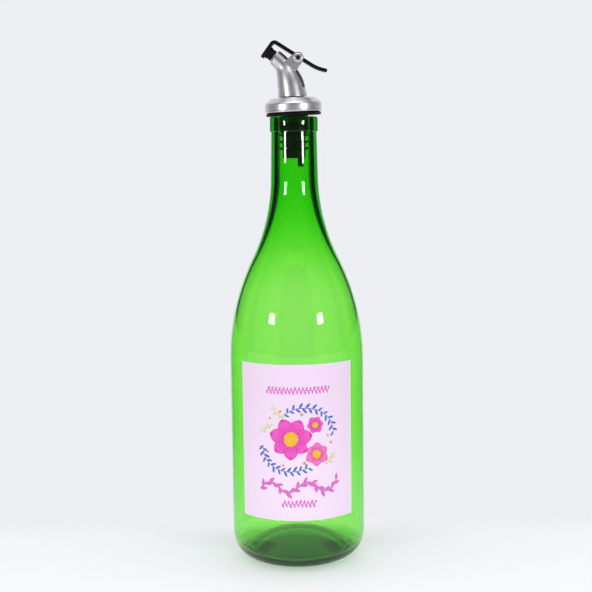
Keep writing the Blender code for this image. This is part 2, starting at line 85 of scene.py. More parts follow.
class NodeSketch:
    """A node tree under construction, of a material, a world or a modifier."""

    def __init__(self, tree: bpy.types.NodeTree) -> None:
        """Takes an empty tree."""
        self.tree = tree
        self.inputs: dict[str, str] = {}

    def add(self, kind: str, feeds: Mapping = {}, **settings: object) -> bpy.types.Node:
        """Adds a node.

        Args:
            kind: the node's type name.
            feeds: input names or numbers, each with a socket to link or a value to set.
            settings: the node's own properties.

        Returns:
            The new node.
        """
        node = self.tree.nodes.new(kind)
        for name, value in settings.items():
            setattr(node, name, value)
        self.feed_all(node, feeds)
        return node

    def feed(self, socket: bpy.types.NodeSocket, value: Feed) -> None:
        """Links a socket into an input, or sets the input's own value.

        Args:
            socket: the input.
            value: a socket to link or a plain value; a colour may leave out its alpha.
        """
        if isinstance(value, bpy.types.NodeSocket):
            self.tree.links.new(value, socket)
        elif socket.type == "RGBA" and len(value) == 3:
            socket.default_value = (*value, 1.0)
        else:
            socket.default_value = value

    def feed_all(self, node: bpy.types.Node, feeds: Mapping) -> None:
        """Feeds several of a node's inputs, given by name or number."""
        for key, value in feeds.items():
            self.feed(node.inputs[key], value)

    def math(self, operation: str, first: Feed, second: Feed = 0.0) -> bpy.types.NodeSocket:
        """The result of one Math node."""
        return self.add("ShaderNodeMath", {0: first, 1: second}, operation=operation).outputs[0]

    def ramp(
        self, value: Feed, low: float, high: float, start: float = 0.0, end: float = 1.0
    ) -> bpy.types.NodeSocket:
        """The value eased from start at low to end at high."""
        feeds = {"Value": value, "From Min": low, "From Max": high, "To Min": start, "To Max": end}
        return self.add("ShaderNodeMapRange", feeds, interpolation_type="SMOOTHSTEP").outputs[0]

    def mix(self, share: Feed, first: Feed, second: Feed) -> bpy.types.NodeSocket:
        """Two colours mixed.

        Args:
            share: how much of the second colour there is, from 0 to 1.
            first: the first colour.
            second: the second colour.

        Returns:
            The mixed colour.
        """
        return self.add("ShaderNodeMix", {0: share, 6: first, 7: second}, data_type="RGBA").outputs[2]

    def noise(self, place: bpy.types.NodeSocket, scale: float, detail: float = 3.0) -> bpy.types.NodeSocket:
        """A noise value at a place, in lumps of about 1/scale metres."""
        feeds = {"Vector": place, "Scale": scale, "Detail": detail}
        return self.add("ShaderNodeTexNoise", feeds).outputs[0]


class MaterialSketch(NodeSketch):
    """A new material's tree, with its Principled shader and the Object coordinates."""

    def __init__(self, name: str) -> None:
        """Starts the material.

        Args:
            name: the material's name.
        """
        self.material = bpy.data.materials.new(name)
        self.material.use_nodes = True
        super().__init__(self.material.node_tree)
        self.shader = self.tree.nodes["Principled BSDF"]
        self.output = self.tree.nodes["Material Output"]
        self.place = self.add("ShaderNodeTexCoord").outputs["Object"]

    def stretched(self, scale: tuple[float, float, float]) -> bpy.types.NodeSocket:
        """The coordinates times a scale for each axis."""
        return self.add("ShaderNodeMapping", {"Vector": self.place, "Scale": scale}).outputs[0]

    def surface(self, **feeds: Feed) -> None:
        """Feeds the shader's inputs, whose names have underscores for their spaces here."""
        self.feed_all(self.shader, {name.replace("_", " "): value for name, value in feeds.items()})

    def bump(self, height: bpy.types.NodeSocket, strength: float, distance: float) -> None:
        """Bumps the surface by a height."""
        feeds = {"Strength": strength, "Distance": distance, "Height": height}
        self.surface(Normal=self.add("ShaderNodeBump", feeds).outputs[0])


# Finishes


@dataclass(frozen=True)
class GlassFinish:
    """Clear tinted glass: the tint grows with the thickness that light crosses."""

    name: str
    tint: Colour
    density: float
    ior: float = 1.52
    ripple: float = 0.02
    ripple_scale: float = 60.0
    haze: float = 0.012

    def material(self) -> bpy.types.Material:
        """Builds the material.

        Returns:
            The new material.
        """
        sketch = MaterialSketch(self.name)
        sketch.surface(Base_Color=(1.0, 1.0, 1.0), Transmission_Weight=1.0, IOR=self.ior)
        wave = sketch.noise(sketch.stretched((1.0, 1.0, 0.35)), self.ripple_scale, 1.0)
        sketch.bump(wave, self.ripple, MM)
        sketch.surface(Roughness=sketch.ramp(sketch.noise(sketch.place, 900.0), 0.55, 0.8, 0.0, self.haze))
        volume = sketch.add("ShaderNodeVolumeAbsorption", {"Color": self.tint, "Density": self.density})
        sketch.feed(sketch.output.inputs["Volume"], volume.outputs[0])
        return sketch.material


@dataclass(frozen=True)
class MetalFinish:
    """Satin steel with fine turning marks and a slightly cloudy polish."""

    name: str
    colour: Colour
    roughness: float
    grain: float = 0.06

    def material(self) -> bpy.types.Material:
        """Builds the material.

        Returns:
            The new material.
        """
        sketch = MaterialSketch(self.name)
        cloud = sketch.ramp(sketch.noise(sketch.place, 350.0), 0.35, 0.7)
        dull = tuple(0.86 * c for c in self.colour)
        marks = sketch.noise(sketch.stretched((60.0, 60.0, 2600.0)), 1.0, 2.0)
        rough = sketch.math("MULTIPLY_ADD", marks, 0.1)
        rough.node.inputs[2].default_value = self.roughness - 0.05
        sketch.surface(Metallic=1.0, Base_Color=sketch.mix(cloud, self.colour, dull), Roughness=rough)
        sketch.bump(marks, self.grain, 0.05 * MM)
        return sketch.material


@dataclass(frozen=True)
class BlackFinish:
    """Black plastic or silicone, with a faint moulded grain and rubbed patches."""

    name: str
    colour: Colour
    roughness: float
    grain: float = 0.1
    grain_scale: float = 2500.0
    shine: float = 0.25

    def material(self) -> bpy.types.Material:
        """Builds the material.

        Returns:
            The new material.
        """
        sketch = MaterialSketch(self.name)
        rubbed = sketch.noise(sketch.place, 260.0)
        worn = tuple(c * 1.8 + 0.0015 for c in self.colour)
        colour = sketch.mix(sketch.ramp(rubbed, 0.5, 0.8), self.colour, worn)
        rough = sketch.ramp(rubbed, 0.3, 0.75, self.roughness - 0.05, self.roughness + 0.12)
        sketch.surface(Specular_IOR_Level=self.shine, Base_Color=colour, Roughness=rough)
        sketch.bump(sketch.noise(sketch.place, self.grain_scale, 2.0), self.grain, 0.05 * MM)
        return sketch.material


@dataclass(frozen=True)
class PaperFinish:
    """Matte label paper: cooler at the top, whiter at the foot, with a felt of short fibres."""

    name: str
    top: Colour
    foot: Colour
    span: Point2

    def material(self) -> bpy.types.Material:
        """Builds the material.

        Returns:
            The new material.
        """
        sketch = MaterialSketch(self.name)
        height = sketch.add("ShaderNodeSeparateXYZ", {0: sketch.place}).outputs["Z"]
        blend = sketch.mix(sketch.ramp(height, *self.span), self.foot, self.top)
        felt = sketch.noise(sketch.place, 1400.0, 5.0)
        shade = tuple(0.95 * c for c in self.top)
        mottled = sketch.mix(sketch.ramp(felt, 0.45, 0.75, 0.0, 0.5), blend, shade)
        rough = sketch.ramp(felt, 0.3, 0.7, 0.5, 0.62)
        sketch.surface(Base_Color=mottled, Roughness=rough, Specular_IOR_Level=0.3)
        sketch.bump(felt, 0.15, 0.03 * MM)
        return sketch.material


@dataclass(frozen=True)
class InkFinish:
    """Printed ink that pools darker in veins and at the edge of each stroke."""

    name: str
    colour: Colour
    pooled: Colour
    veins: float = 0.0
    edge: float = 0.82

    def material(self) -> bpy.types.Material:
        """Builds the material.

        Returns:
            The new material.
        """
        sketch = MaterialSketch(self.name)
        across = sketch.add("ShaderNodeAttribute", attribute_name="across").outputs["Fac"]
        along = sketch.add("ShaderNodeAttribute", attribute_name="along").outputs["Fac"]
        side = sketch.math("ABSOLUTE", across)
        rim = sketch.ramp(sketch.math("MAXIMUM", side, along), self.edge, 1.0)
        wave = sketch.math("SINE", sketch.math("MULTIPLY", across, self.veins))
        vein = sketch.ramp(sketch.math("ABSOLUTE", wave), 0.72, 1.0)
        fading = sketch.math("MULTIPLY", vein, sketch.ramp(along, 0.25, 0.85, 0.75, 0.0))
        dark = sketch.math("MAXIMUM", rim, fading)
        wash = sketch.ramp(sketch.noise(sketch.place, 1100.0), 0.4, 0.75, 0.0, 0.35)
        colour = sketch.mix(sketch.math("MAXIMUM", dark, wash), self.colour, self.pooled)
        sketch.surface(Base_Color=colour, Roughness=0.5, Specular_IOR_Level=0.3)
        return sketch.material


Finish = GlassFinish | MetalFinish | BlackFinish | PaperFinish | InkFinish


class Finishes:
    """All finishes, each built once."""

    GLASS = GlassFinish("green_glass", (0.565, 0.922, 0.29), 1000.0)
    STEEL = MetalFinish("satin_steel", (0.72, 0.70, 0.72), 0.33)
    PLASTIC = BlackFinish("black_plastic", (0.005, 0.004, 0.008), 0.2)
    SILICONE = BlackFinish("black_silicone", (0.003, 0.0026, 0.005), 0.45, 0.2, shine=0.12)
    PAPER = PaperFinish("label_paper", srgb(242, 219, 241), srgb(250, 230, 250), (0.04, 0.12))
    PETAL = InkFinish("petal_ink", srgb(243, 92, 206), srgb(214, 52, 128), 9.0)
    PETAL_PALE = InkFinish("pale_petal_ink", srgb(246, 130, 205), srgb(224, 66, 150), 7.0)
    GOLD = InkFinish("gold_ink", srgb(246, 196, 58), srgb(226, 148, 36))
    LEAF = InkFinish("leaf_ink", srgb(72, 122, 204), srgb(44, 84, 168), 2.0)
    TWIG = InkFinish("twig_ink", srgb(214, 220, 150), srgb(190, 200, 120))
    BERRY = InkFinish("berry_ink", srgb(236, 168, 96), srgb(214, 130, 60))
    VEIN = InkFinish("vein_ink", srgb(206, 44, 122), srgb(190, 30, 96))
    FLOURISH = InkFinish("flourish_ink", srgb(226, 118, 206), srgb(208, 88, 186))

    _built: dict[str, bpy.types.Material] = {}

    @classmethod
    def get(cls, finish: Finish) -> bpy.types.Material:
        """Builds a finish at its first use.

        Args:
            finish: one of the finishes above.

        Returns:
            Its material.
        """
        if finish.name not in cls._built:
            cls._built[finish.name] = finish.material()
        return cls._built[finish.name]


# Shapes


def arc(centre: Point2, radii: Point2, start: float, end: float, steps: int) -> list[Point2]:
    """Points on an ellipse's arc, from the angle start to the angle end."""
    angles = [start + (end - start) * i / steps for i in range(steps + 1)]
    return [(centre[0] + radii[0] * math.cos(a), centre[1] + radii[1] * math.sin(a)) for a in angles]


def smooth_step(low: float, high: float, value: float) -> float:
    """0 below low, 1 above high and an S-shaped rise between."""
    t = min(1.0, max(0.0, (value - low) / (high - low)))
    return t * t * (3 - 2 * t)


def spline(points: Sequence[Vector], between: int) -> list[Vector]:
    """A smooth curve through points.

    Args:
        points: what the curve passes through.
        between: how many steps there are from each point to the next.

    Returns:
        The curve's own points, the last one included.
    """
    ends = [points[0] * 2 - points[1], *points, points[-1] * 2 - points[-2]]
    curve = []
    for a, b, c, d in zip(ends, ends[1:], ends[2:], ends[3:]):
        for i in range(between):
            t = i / between
            square = a - b * 2.5 + c * 2 - d / 2
            cube = b * 1.5 - c * 1.5 + (d - a) / 2
            curve.append(b + (c - a) * (t / 2) + square * t**2 + cube * t**3)
    return [*curve, points[-1].copy()]


def rounded(points: Sequence[Point2], radius: float, steps: int = 4) -> list[Point2]:
    """Rounds off the corners of a broken line.

    Args:
        points: the line, whose two ends stay.
        radius: how far from each corner the rounding starts.
        steps: how many edges each rounding has.

    Returns:
        The rounded line.
    """
    line = [Vector(p) for p in points]
    out = [tuple(line[0])]
    for before, corner, after in zip(line, line[1:], line[2:]):
        back, on = before - corner, after - corner
        cut = min(radius, back.length * 0.45, on.length * 0.45)
        start, end = corner + back.normalized() * cut, corner + on.normalized() * cut
        for i in range(steps + 1):
            t = i / steps
            out.append(tuple(start * (1 - t) ** 2 + corner * (2 * t * (1 - t)) + end * t**2))
    return [*out, tuple(line[-1])]


def lathe(profile: Sequence[Point2], segments: int, closed: bool = False) -> bmesh.types.BMesh:
    """A body of revolution about Z.

    Args:
        profile: (radius, height) points in order.
        segments: how many steps go round.
        closed: whether the profile is a loop.

    Returns:
        A mesh with its doubles merged.
    """
    bm = bmesh.new()
    verts = [bm.verts.new((r, 0, z)) for r, z in profile]
    edges = [bm.edges.new(pair) for pair in zip(verts, verts[1:])]
    if closed:
        edges.append(bm.edges.new((verts[-1], verts[0])))
    geometry = verts + edges
    bmesh.ops.spin(bm, geom=geometry, cent=(0, 0, 0), axis=(0, 0, 1), angle=math.tau, steps=segments)
    bmesh.ops.remove_doubles(bm, verts=bm.verts, dist=1e-7)
    return bm


def plate(outline: Sequence[Point2], inner: float, outer: float) -> bmesh.types.BMesh:
    """A flat plate.

    Args:
        outline: its (x, z) points in order.
        inner: where it starts along Y.
        outer: where it ends along Y.

    Returns:
        The closed mesh.
    """
    bm = bmesh.new()
    face = bm.faces.new([bm.verts.new((x, inner, z)) for x, z in outline])
    made = bmesh.ops.extrude_face_region(bm, geom=[face], use_keep_orig=True)
    moved = [item for item in made["geom"] if isinstance(item, bmesh.types.BMVert)]
    bmesh.ops.translate(bm, verts=moved, vec=(0, outer - inner, 0))
    return bm


def loft(rings: Sequence[Sequence[Vector]]) -> bmesh.types.BMesh:
    """A skin through rings, closed at both ends.

    Args:
        rings: loops that all have the same number of points.

    Returns:
        The closed mesh.
    """
    bm = bmesh.new()
    loops = [[bm.verts.new(p) for p in ring] for ring in rings]
    count = len(loops[0])
    for low, high in zip(loops, loops[1:]):
        for i in range(count):
            j = (i + 1) % count
            bm.faces.new((low[i], low[j], high[j], high[i]))
    bm.faces.new(loops[0])
    bm.faces.new(loops[-1])
    return bm


def rod(radius: float, length: float, segments: int = 48) -> bmesh.types.BMesh:
    """A round bar about Z, with its middle at the origin.

    Args:
        radius: its radius.
        length: its length.
        segments: how many sides it has.

    Returns:
        The closed mesh.
    """
    bm = bmesh.new()
    sizes = {"radius1": radius, "radius2": radius, "depth": length}
    bmesh.ops.create_cone(bm, cap_ends=True, segments=segments, **sizes)
    return bm


def sheet_faces(bm: bmesh.types.BMesh, front: list[list], back: list[list]) -> None:
    """Joins two grids of vertices, which lie face to face, into one closed sheet.

    Args:
        bm: the mesh that holds the vertices.
        front: rows of the front's vertices.
        back: rows of the back's vertices, as many as the front has.
    """
    rows, columns = len(front) - 1, len(front[0]) - 1
    for i in range(rows):
        for j in range(columns):
            bm.faces.new((front[i][j], front[i][j + 1], front[i + 1][j + 1], front[i + 1][j]))
            bm.faces.new((back[i][j], back[i + 1][j], back[i + 1][j + 1], back[i][j + 1]))
    rim = [(i, 0) for i in range(rows, 0, -1)] + [(0, j) for j in range(columns)]
    rim += [(i, columns) for i in range(rows)] + [(rows, j) for j in range(columns, 0, -1)]
    for (i, j), (k, m) in zip(rim, rim[1:] + rim[:1]):
        bm.faces.new((front[i][j], back[i][j], back[k][m], front[k][m]))


def circle(matrix: Matrix, radius: float, segments: int) -> list[Vector]:
    """Points of a circle in a matrix's XY plane."""
    turns = [math.tau * i / segments for i in range(segments)]
    return [matrix @ Vector((radius * math.cos(t), radius * math.sin(t), 0)) for t in turns]


def new_object(name: str, bm: bmesh.types.BMesh, smooth: float = 35.0) -> bpy.types.Object:
    """Makes an object, with its faces turned outwards.

    Args:
        name: the object's name.
        bm: its mesh, which is used up.
        smooth: the angle in degrees below which its edges are smooth.

    Returns:
        The new object.
    """
    bm.normal_update()
    bmesh.ops.recalc_face_normals(bm, faces=bm.faces)
    mesh = bpy.data.meshes.new(name)
    bm.to_mesh(mesh)
    bm.free()
    mesh.shade_smooth()
    mesh.set_sharp_from_angle(angle=math.radians(smooth))
    thing = bpy.data.objects.new(name, mesh)
    bpy.context.scene.collection.objects.link(thing)
    return thing


def freeze(thing: bpy.types.Object) -> None:
    """Puts an object's modifiers into its mesh.

    Args:
        thing: the object.
    """
    bpy.context.view_layer.update()
    graph = bpy.context.evaluated_depsgraph_get()
    mesh = bpy.data.meshes.new_from_object(thing.evaluated_get(graph))
    old = thing.data
    thing.modifiers.clear()
    thing.data = mesh
    bpy.data.meshes.remove(old)


def cut_or_join(thing: bpy.types.Object, tool: bpy.types.Object, operation: str) -> None:
    """Joins a tool to an object or cuts it out, then removes the tool.

    Args:
        thing: the object that stays.
        tool: the object that is used up.
        operation: UNION or DIFFERENCE.
    """
    modifier = thing.modifiers.new(operation, "BOOLEAN")
    modifier.operation = operation
    modifier.solver = "EXACT"
    modifier.object = tool
    freeze(thing)
    bpy.data.objects.remove(tool)


def finish_piece(
    thing: bpy.types.Object,
    finish: Finish | None,
    body: Body,
    slot: Slot,
    *nodes: str,
    sharp: float | None = None,
) -> None:
    """Dresses a piece and ties it to the frame.

    Args:
        thing: the piece.
        finish: its finish, or None where it already has one.
        body: the rigid body that it rides on.
        slot: the record's slot that it belongs to; it is not used.
        nodes: the CAD nodes that it stands for.
        sharp: the angle in degrees above which its edges are sharp, where they are set anew.
    """
    if sharp is not None:
        thing.data.shade_smooth()
        thing.data.set_sharp_from_angle(angle=math.radians(sharp))
    if finish is not None:
        thing.data.materials.clear()
        thing.data.materials.append(Finishes.get(finish))
    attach(thing, body.value)
    if nodes:
        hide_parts(*nodes)
    LOG.info("%s: %d faces on %s", thing.name, len(thing.data.polygons), body.value)


# The glass


@dataclass
class GlassBottle:
    """The green bottle: kick-up base, straight body, long shoulders, neck and mouth ring."""

    body_radius: float = 41.75 * MM
    heel: Point2 = (12.0 * MM, 15.0 * MM)
    ring_width: float = 1.6 * MM
    punt_height: float = 10.0 * MM
    shoulder_z: float = 123.7 * MM
    shoulder_radius: float = 143.5 * MM
    shoulder_angle: float = math.radians(26.07)
    shoulder_straight: float = 2.2 * MM
    throat_radius: float = 114.7 * MM
    neck_taper: float = math.radians(1.15)
    mouth_ring_z: float = 265.0 * MM
    mouth_ring_radius: float = 14.75 * MM
    mouth_ring_round: float = 1.0 * MM
    mouth_z: float = 274.1 * MM
    wall: float = 1.6 * MM
    neck_wall: float = 4.3 * MM
    wall_thickens: Point2 = (160 * MM, 240 * MM)
    bore_radius: float = 9.7 * MM
    bore_foot: float = 236 * MM
    floor_thickness: float = 4.0 * MM
    valley_z: float = 4.5 * MM
    inner_heel: Point2 = (6.5 * MM, 9.0 * MM)
    segments: int = 192
    nodes: tuple[str, ...] = ("glass_body", "glass_shoulders", "glass_neck")

    def outer_wall(self) -> list[Point2]:
        """The outside from the top of the heel to the mouth ring.

        Returns:
            Its (radius, height) points, upwards.
        """
        turn = self.shoulder_angle
        centre = (self.body_radius - self.shoulder_radius, self.shoulder_z)
        shoulder = arc(centre, (self.shoulder_radius,) * 2, 0, turn, 36)
        x, z = shoulder[-1]
        x -= self.shoulder_straight * math.sin(turn)
        z += self.shoulder_straight * math.cos(turn)
        reach = self.throat_radius
        centre = (x + reach * math.cos(turn), z + reach * math.sin(turn))
        throat = arc(centre, (reach, reach), math.pi + turn, math.pi + self.neck_taper, 30)
        end = throat[-1][0] - (self.mouth_ring_z - throat[-1][1]) * math.tan(self.neck_taper)
        body = [(self.body_radius, self.heel[1] + (self.shoulder_z - self.heel[1]) * i / 8) for i in range(8)]
        below, above = throat[-1], (end, self.mouth_ring_z)
        neck = [tuple(a + (b - a) * i / 6 for a, b in zip(below, above)) for i in range(1, 7)]
        return [*body, *shoulder, *throat, *neck]

    def inner_wall(self, outside: Sequence[Point2]) -> list[Point2]:
        """The inside between the inner heel and the bore.

        Args:
            outside: the outer wall's (radius, height) points.

        Returns:
            A point for each of them, inward by the wall's thickness there.
        """
        inside = []
        for radius, z in outside:
            if self.valley_z + self.inner_heel[1] < z < self.bore_foot:
                share = smooth_step(*self.wall_thickens, z)
                inside.append((radius - self.wall - (self.neck_wall - self.wall) * share, z))
        return inside

    @staticmethod
    def dome(edge: Point2, top: float, steps: int) -> list[Point2]:
        """A shallow dome about the bottle's axis.

        Args:
            edge: the (radius, height) of its edge.
            top: the height of its middle.
            steps: how many edges its arc has.

        Returns:
            Points from the middle out to the edge.
        """
        rise = top - edge[1]
        radius = (edge[0] ** 2 + rise**2) / (2 * rise)
        reach = math.asin(edge[0] / radius)
        points = arc((0, top - radius), (radius,) * 2, math.pi / 2, math.pi / 2 - reach, steps)
        return [(0.0, top), *points[1:]]

    def profile(self) -> list[Point2]:
        """The whole wall, from the middle of the underside round to the middle of the floor.

        Returns:
            Its (radius, height) points.
        """
        heel_radius = self.body_radius - self.heel[0]
        under = self.dome((heel_radius - self.ring_width, 0.0), self.punt_height, 18)
        heel = arc((heel_radius, self.heel[1]), self.heel, -math.pi / 2, 0, 24)[:-1]
        outside = self.outer_wall()
        ring, edge = self.mouth_ring_radius, self.mouth_ring_round
        low = arc((ring - edge / 2, self.mouth_ring_z + edge / 2), (edge / 2,) * 2, -math.pi / 2, 0, 5)
        high = arc((ring - edge, self.mouth_z - edge), (edge,) * 2, 0, math.pi / 2, 6)
        mouth = arc((self.bore_radius + edge, self.mouth_z - edge), (edge,) * 2, math.pi / 2, math.pi, 6)
        inner_radius = self.body_radius - self.wall
        centre = (inner_radius - self.inner_heel[0], self.valley_z + self.inner_heel[1])
        inner_heel = arc(centre, self.inner_heel, 0, -math.pi / 2, 20)
        floor = self.dome(inner_heel[-1], self.punt_height + self.floor_thickness, 18)
        inside = [*reversed(self.inner_wall(outside)), *inner_heel, *reversed(floor[:-1])]
        return [*under, *heel, *outside, *low, *high, *mouth, *inside]

    def build(self) -> None:
        """Makes the glass."""
        glass = new_object("glass_bottle", lathe(self.profile(), self.segments), 50.0)
        glass.visible_shadow = False
        finish_piece(glass, Finishes.GLASS, Body.BOTTLE, Slot.GLASS, *self.nodes)


# Printed label


class GeometrySketch(NodeSketch):
    """A Geometry Nodes tree with named inputs, which works on one base mesh."""

    def __init__(self, name: str) -> None:
        """Starts the tree with its geometry in and out.

        Args:
            name: the tree's name.
        """
        super().__init__(bpy.data.node_groups.new(name, "GeometryNodeTree"))
        self.tree.interface.new_socket("Geometry", in_out="INPUT", socket_type="NodeSocketGeometry")
        self.tree.interface.new_socket("Geometry", in_out="OUTPUT", socket_type="NodeSocketGeometry")
        self.source = self.tree.nodes.new("NodeGroupInput")
        self.sink = self.tree.nodes.new("NodeGroupOutput")

    def given(self, name: str, kind: str = "Float") -> bpy.types.NodeSocket:
        """Adds a named input.

        Args:
            name: the input's name.
            kind: its kind of value.

        Returns:
            The socket that gives the value inside the tree.
        """
        socket = self.tree.interface.new_socket(name, in_out="INPUT", socket_type="NodeSocket" + kind)
        self.inputs[name] = socket.identifier
        return self.source.outputs[name]

    def wrap_and_end(self, geometry: bpy.types.NodeSocket) -> None:
        """Realizes the geometry, rolls it from the flat sheet onto the label's cylinder and inks it.

        Args:
            geometry: what is printed, flat.
        """
        radius = self.given("Label radius")
        real = self.add("GeometryNodeRealizeInstances", {0: geometry}).outputs[0]
        flat = self.add("ShaderNodeSeparateXYZ", {0: self.add("GeometryNodeInputPosition").outputs[0]})
        angle = self.math("DIVIDE", flat.outputs[0], radius)
        reach = self.math("ADD", radius, flat.outputs[2])
        x = self.math("MULTIPLY", reach, self.math("SINE", angle))
        y = self.math("MULTIPLY", self.math("MULTIPLY", reach, -1.0), self.math("COSINE", angle))
        rolled = self.add("ShaderNodeCombineXYZ", {0: x, 1: y, 2: flat.outputs[1]}).outputs[0]
        placed = self.add("GeometryNodeSetPosition", {"Geometry": real, "Position": rolled}).outputs[0]
        feeds = {"Geometry": placed, "Material": self.given("Ink", "Material")}
        dressed = self.add("GeometryNodeSetMaterial", feeds).outputs[0]
        self.feed(self.sink.inputs[0], dressed)

    def apply(self, name: str, base: bpy.types.Mesh, values: Mapping[str, object]) -> bpy.types.Object:
        """Runs the tree on a base mesh.

        Args:
            name: the new object's name.
            base: the mesh that goes in.
            values: a value for each named input.

        Returns:
            An object with the plain resulting mesh.
        """
        thing = bpy.data.objects.new(name, base)
        bpy.context.scene.collection.objects.link(thing)
        modifier = thing.modifiers.new(self.tree.name, "NODES")
        modifier.node_group = self.tree
        for key, value in values.items():
            modifier[self.inputs[key]] = value
        freeze(thing)
        return thing


def stroke_mesh(
    name: str, length: float, width: float, lift: float, fullness: float, tip: float = 0.0
) -> bpy.types.Mesh:
    """A petal or leaf lying flat from the origin along +Y.

    Args:
        name: the mesh's name.
        length: how far it reaches.
        width: its greatest width.
        lift: how high its face lies above the paper.
        fullness: below 1 it is broadest near its foot, above 1 near its tip.
        tip: how deep its tip is notched.

    Returns:
        A thin closed mesh with the attributes along and across.
    """
    rows, columns = 10, 6
    bm = bmesh.new()
    along, across = bm.verts.layers.float.new("along"), bm.verts.layers.float.new("across")
    sheets = []
    for height in (lift, lift - PRINT_THICKNESS):
        grid = []
        for i in range(rows + 1):
            u = i / rows
            half = width / 2 * max(0.02, math.sin(math.pi * u**fullness) ** 0.7)
            row = []
            for j in range(columns + 1):
                v = 2 * j / columns - 1
                dip = tip * length * max(0.0, u - 0.8) * 5 * (1 - abs(v))
                vert = bm.verts.new((half * v, length * u - dip, height))
                vert[along], vert[across] = u, v
                row.append(vert)
            grid.append(row)
        sheets.append(grid)
    sheet_faces(bm, *sheets)
    mesh = bpy.data.meshes.new(name)
    bmesh.ops.recalc_face_normals(bm, faces=bm.faces)
    bm.to_mesh(mesh)
    bm.free()
    return mesh


def line_mesh(name: str, points: Sequence[Point2], lift: float) -> bpy.types.Mesh:
    """A bare line, which a tree turns into a stem.

    Args:
        name: the mesh's name.
        points: the line's flat points.
        lift: how high it lies above the paper.

    Returns:
        A mesh of edges alone.
    """
    mesh = bpy.data.meshes.new(name)
    verts = [(x, y, lift) for x, y in points]
    mesh.from_pydata(verts, [(i, i + 1) for i in range(len(verts) - 1)], [])
    return mesh


def petal_ring_tree() -> GeometrySketch:
    """The tree that sets petals or beads in a ring round a point of the sheet.

    Returns:
        Its finished sketch.
    """
    sketch = GeometrySketch("petal_ring")
    count, radius = sketch.given("Count", "Int"), sketch.given("Ring radius")
    centre, start = sketch.given("Centre", "Vector"), sketch.given("Start angle")
    spread, seed = sketch.given("Size spread"), sketch.given("Seed", "Int")
    ring = sketch.add("GeometryNodeMeshCircle", {"Vertices": count, "Radius": radius}).outputs[0]
    index = sketch.add("GeometryNodeInputIndex").outputs[0]
    step = sketch.math("DIVIDE", math.tau, count)
    angle = sketch.math("SUBTRACT", sketch.math("MULTIPLY", index, step), math.pi / 2)
    turn = sketch.add("ShaderNodeCombineXYZ", {2: angle}).outputs[0]
    low = sketch.math("SUBTRACT", 1.0, spread)
    feeds = {2: low, 3: sketch.math("ADD", 1.0, spread), "Seed": seed}
    size = sketch.add("FunctionNodeRandomValue", feeds, data_type="FLOAT").outputs[1]
    feeds = {"Points": ring, "Instance": sketch.source.outputs[0], "Rotation": turn, "Scale": size}
    set_out = sketch.add("GeometryNodeInstanceOnPoints", feeds).outputs[0]
    whole_turn = sketch.add("ShaderNodeCombineXYZ", {2: start}).outputs[0]
    feeds = {"Geometry": sketch.add("GeometryNodeRealizeInstances", {0: set_out}).outputs[0]}
    feeds |= {"Translation": centre, "Rotation": whole_turn}
    sketch.wrap_and_end(sketch.add("GeometryNodeTransform", feeds).outputs[0])
    return sketch


def sprig_tree() -> GeometrySketch:
    """The tree that turns a line into a stem with leaves on alternate sides.

    Returns:
        Its finished sketch.
    """
    sketch = GeometrySketch("sprig")
    count, width = sketch.given("Leaves", "Int"), sketch.given("Stem width")
    splay, leaf = sketch.given("Splay"), sketch.given("Leaf", "Object")
    spread, seed = sketch.given("Size spread"), sketch.given("Seed", "Int")
    curve = sketch.add("GeometryNodeMeshToCurve", {0: sketch.source.outputs[0]}).outputs[0]
    feeds = {"Width": width, "Height": PRINT_THICKNESS}
    section = sketch.add("GeometryNodeCurvePrimitiveQuadrilateral", feeds)
    feeds = {"Curve": curve, "Profile Curve": section.outputs[0], "Fill Caps": True}
    stem = sketch.add("GeometryNodeCurveToMesh", feeds).outputs[0]
    dots = sketch.add("GeometryNodeCurveToPoints", {"Curve": curve, "Count": count})
    way = sketch.add("ShaderNodeSeparateXYZ", {0: dots.outputs["Tangent"]})
    heading = sketch.math("ARCTAN2", way.outputs[1], way.outputs[0])
    index = sketch.add("GeometryNodeInputIndex").outputs[0]
    side = sketch.math("SUBTRACT", sketch.math("MULTIPLY", sketch.math("MODULO", index, 2.0), 2.0), 1.0)
    angle = sketch.math("ADD", heading, sketch.math("MULTIPLY", side, splay))
    turn = sketch.add("ShaderNodeCombineXYZ", {2: sketch.math("SUBTRACT", angle, math.pi / 2)}).outputs[0]
    low = sketch.math("SUBTRACT", 1.0, spread)
    feeds = {2: low, 3: sketch.math("ADD", 1.0, spread), "Seed": seed}
    size = sketch.add("FunctionNodeRandomValue", feeds, data_type="FLOAT").outputs[1]
    shape = sketch.add("GeometryNodeObjectInfo", {"Object": leaf}).outputs["Geometry"]
    feeds = {"Points": dots.outputs["Points"], "Instance": shape, "Rotation": turn, "Scale": size}
    leaves = sketch.add("GeometryNodeInstanceOnPoints", feeds).outputs[0]
    both = sketch.add("GeometryNodeJoinGeometry")
    for part in (stem, leaves):
        sketch.tree.links.new(part, both.inputs[0])
    sketch.wrap_and_end(both.outputs[0])
    return sketch


@dataclass(frozen=True)
class Blossom:
    """One printed blossom, in millimetres on the flat sheet: its place and how it is drawn."""

    name: str
    centre: Point2
    petals: int
    reach: float
    width: float
    heart: float
    turn: float
    pale: bool = False


@dataclass(frozen=True)
class Sprig:
    """One printed stem with leaves, in millimetres on the flat sheet."""

    name: str
    points: tuple[Point2, ...]
    leaves: int
    leaf: Point2
    splay: float
    ink: InkFinish
    stem: float = 0.45


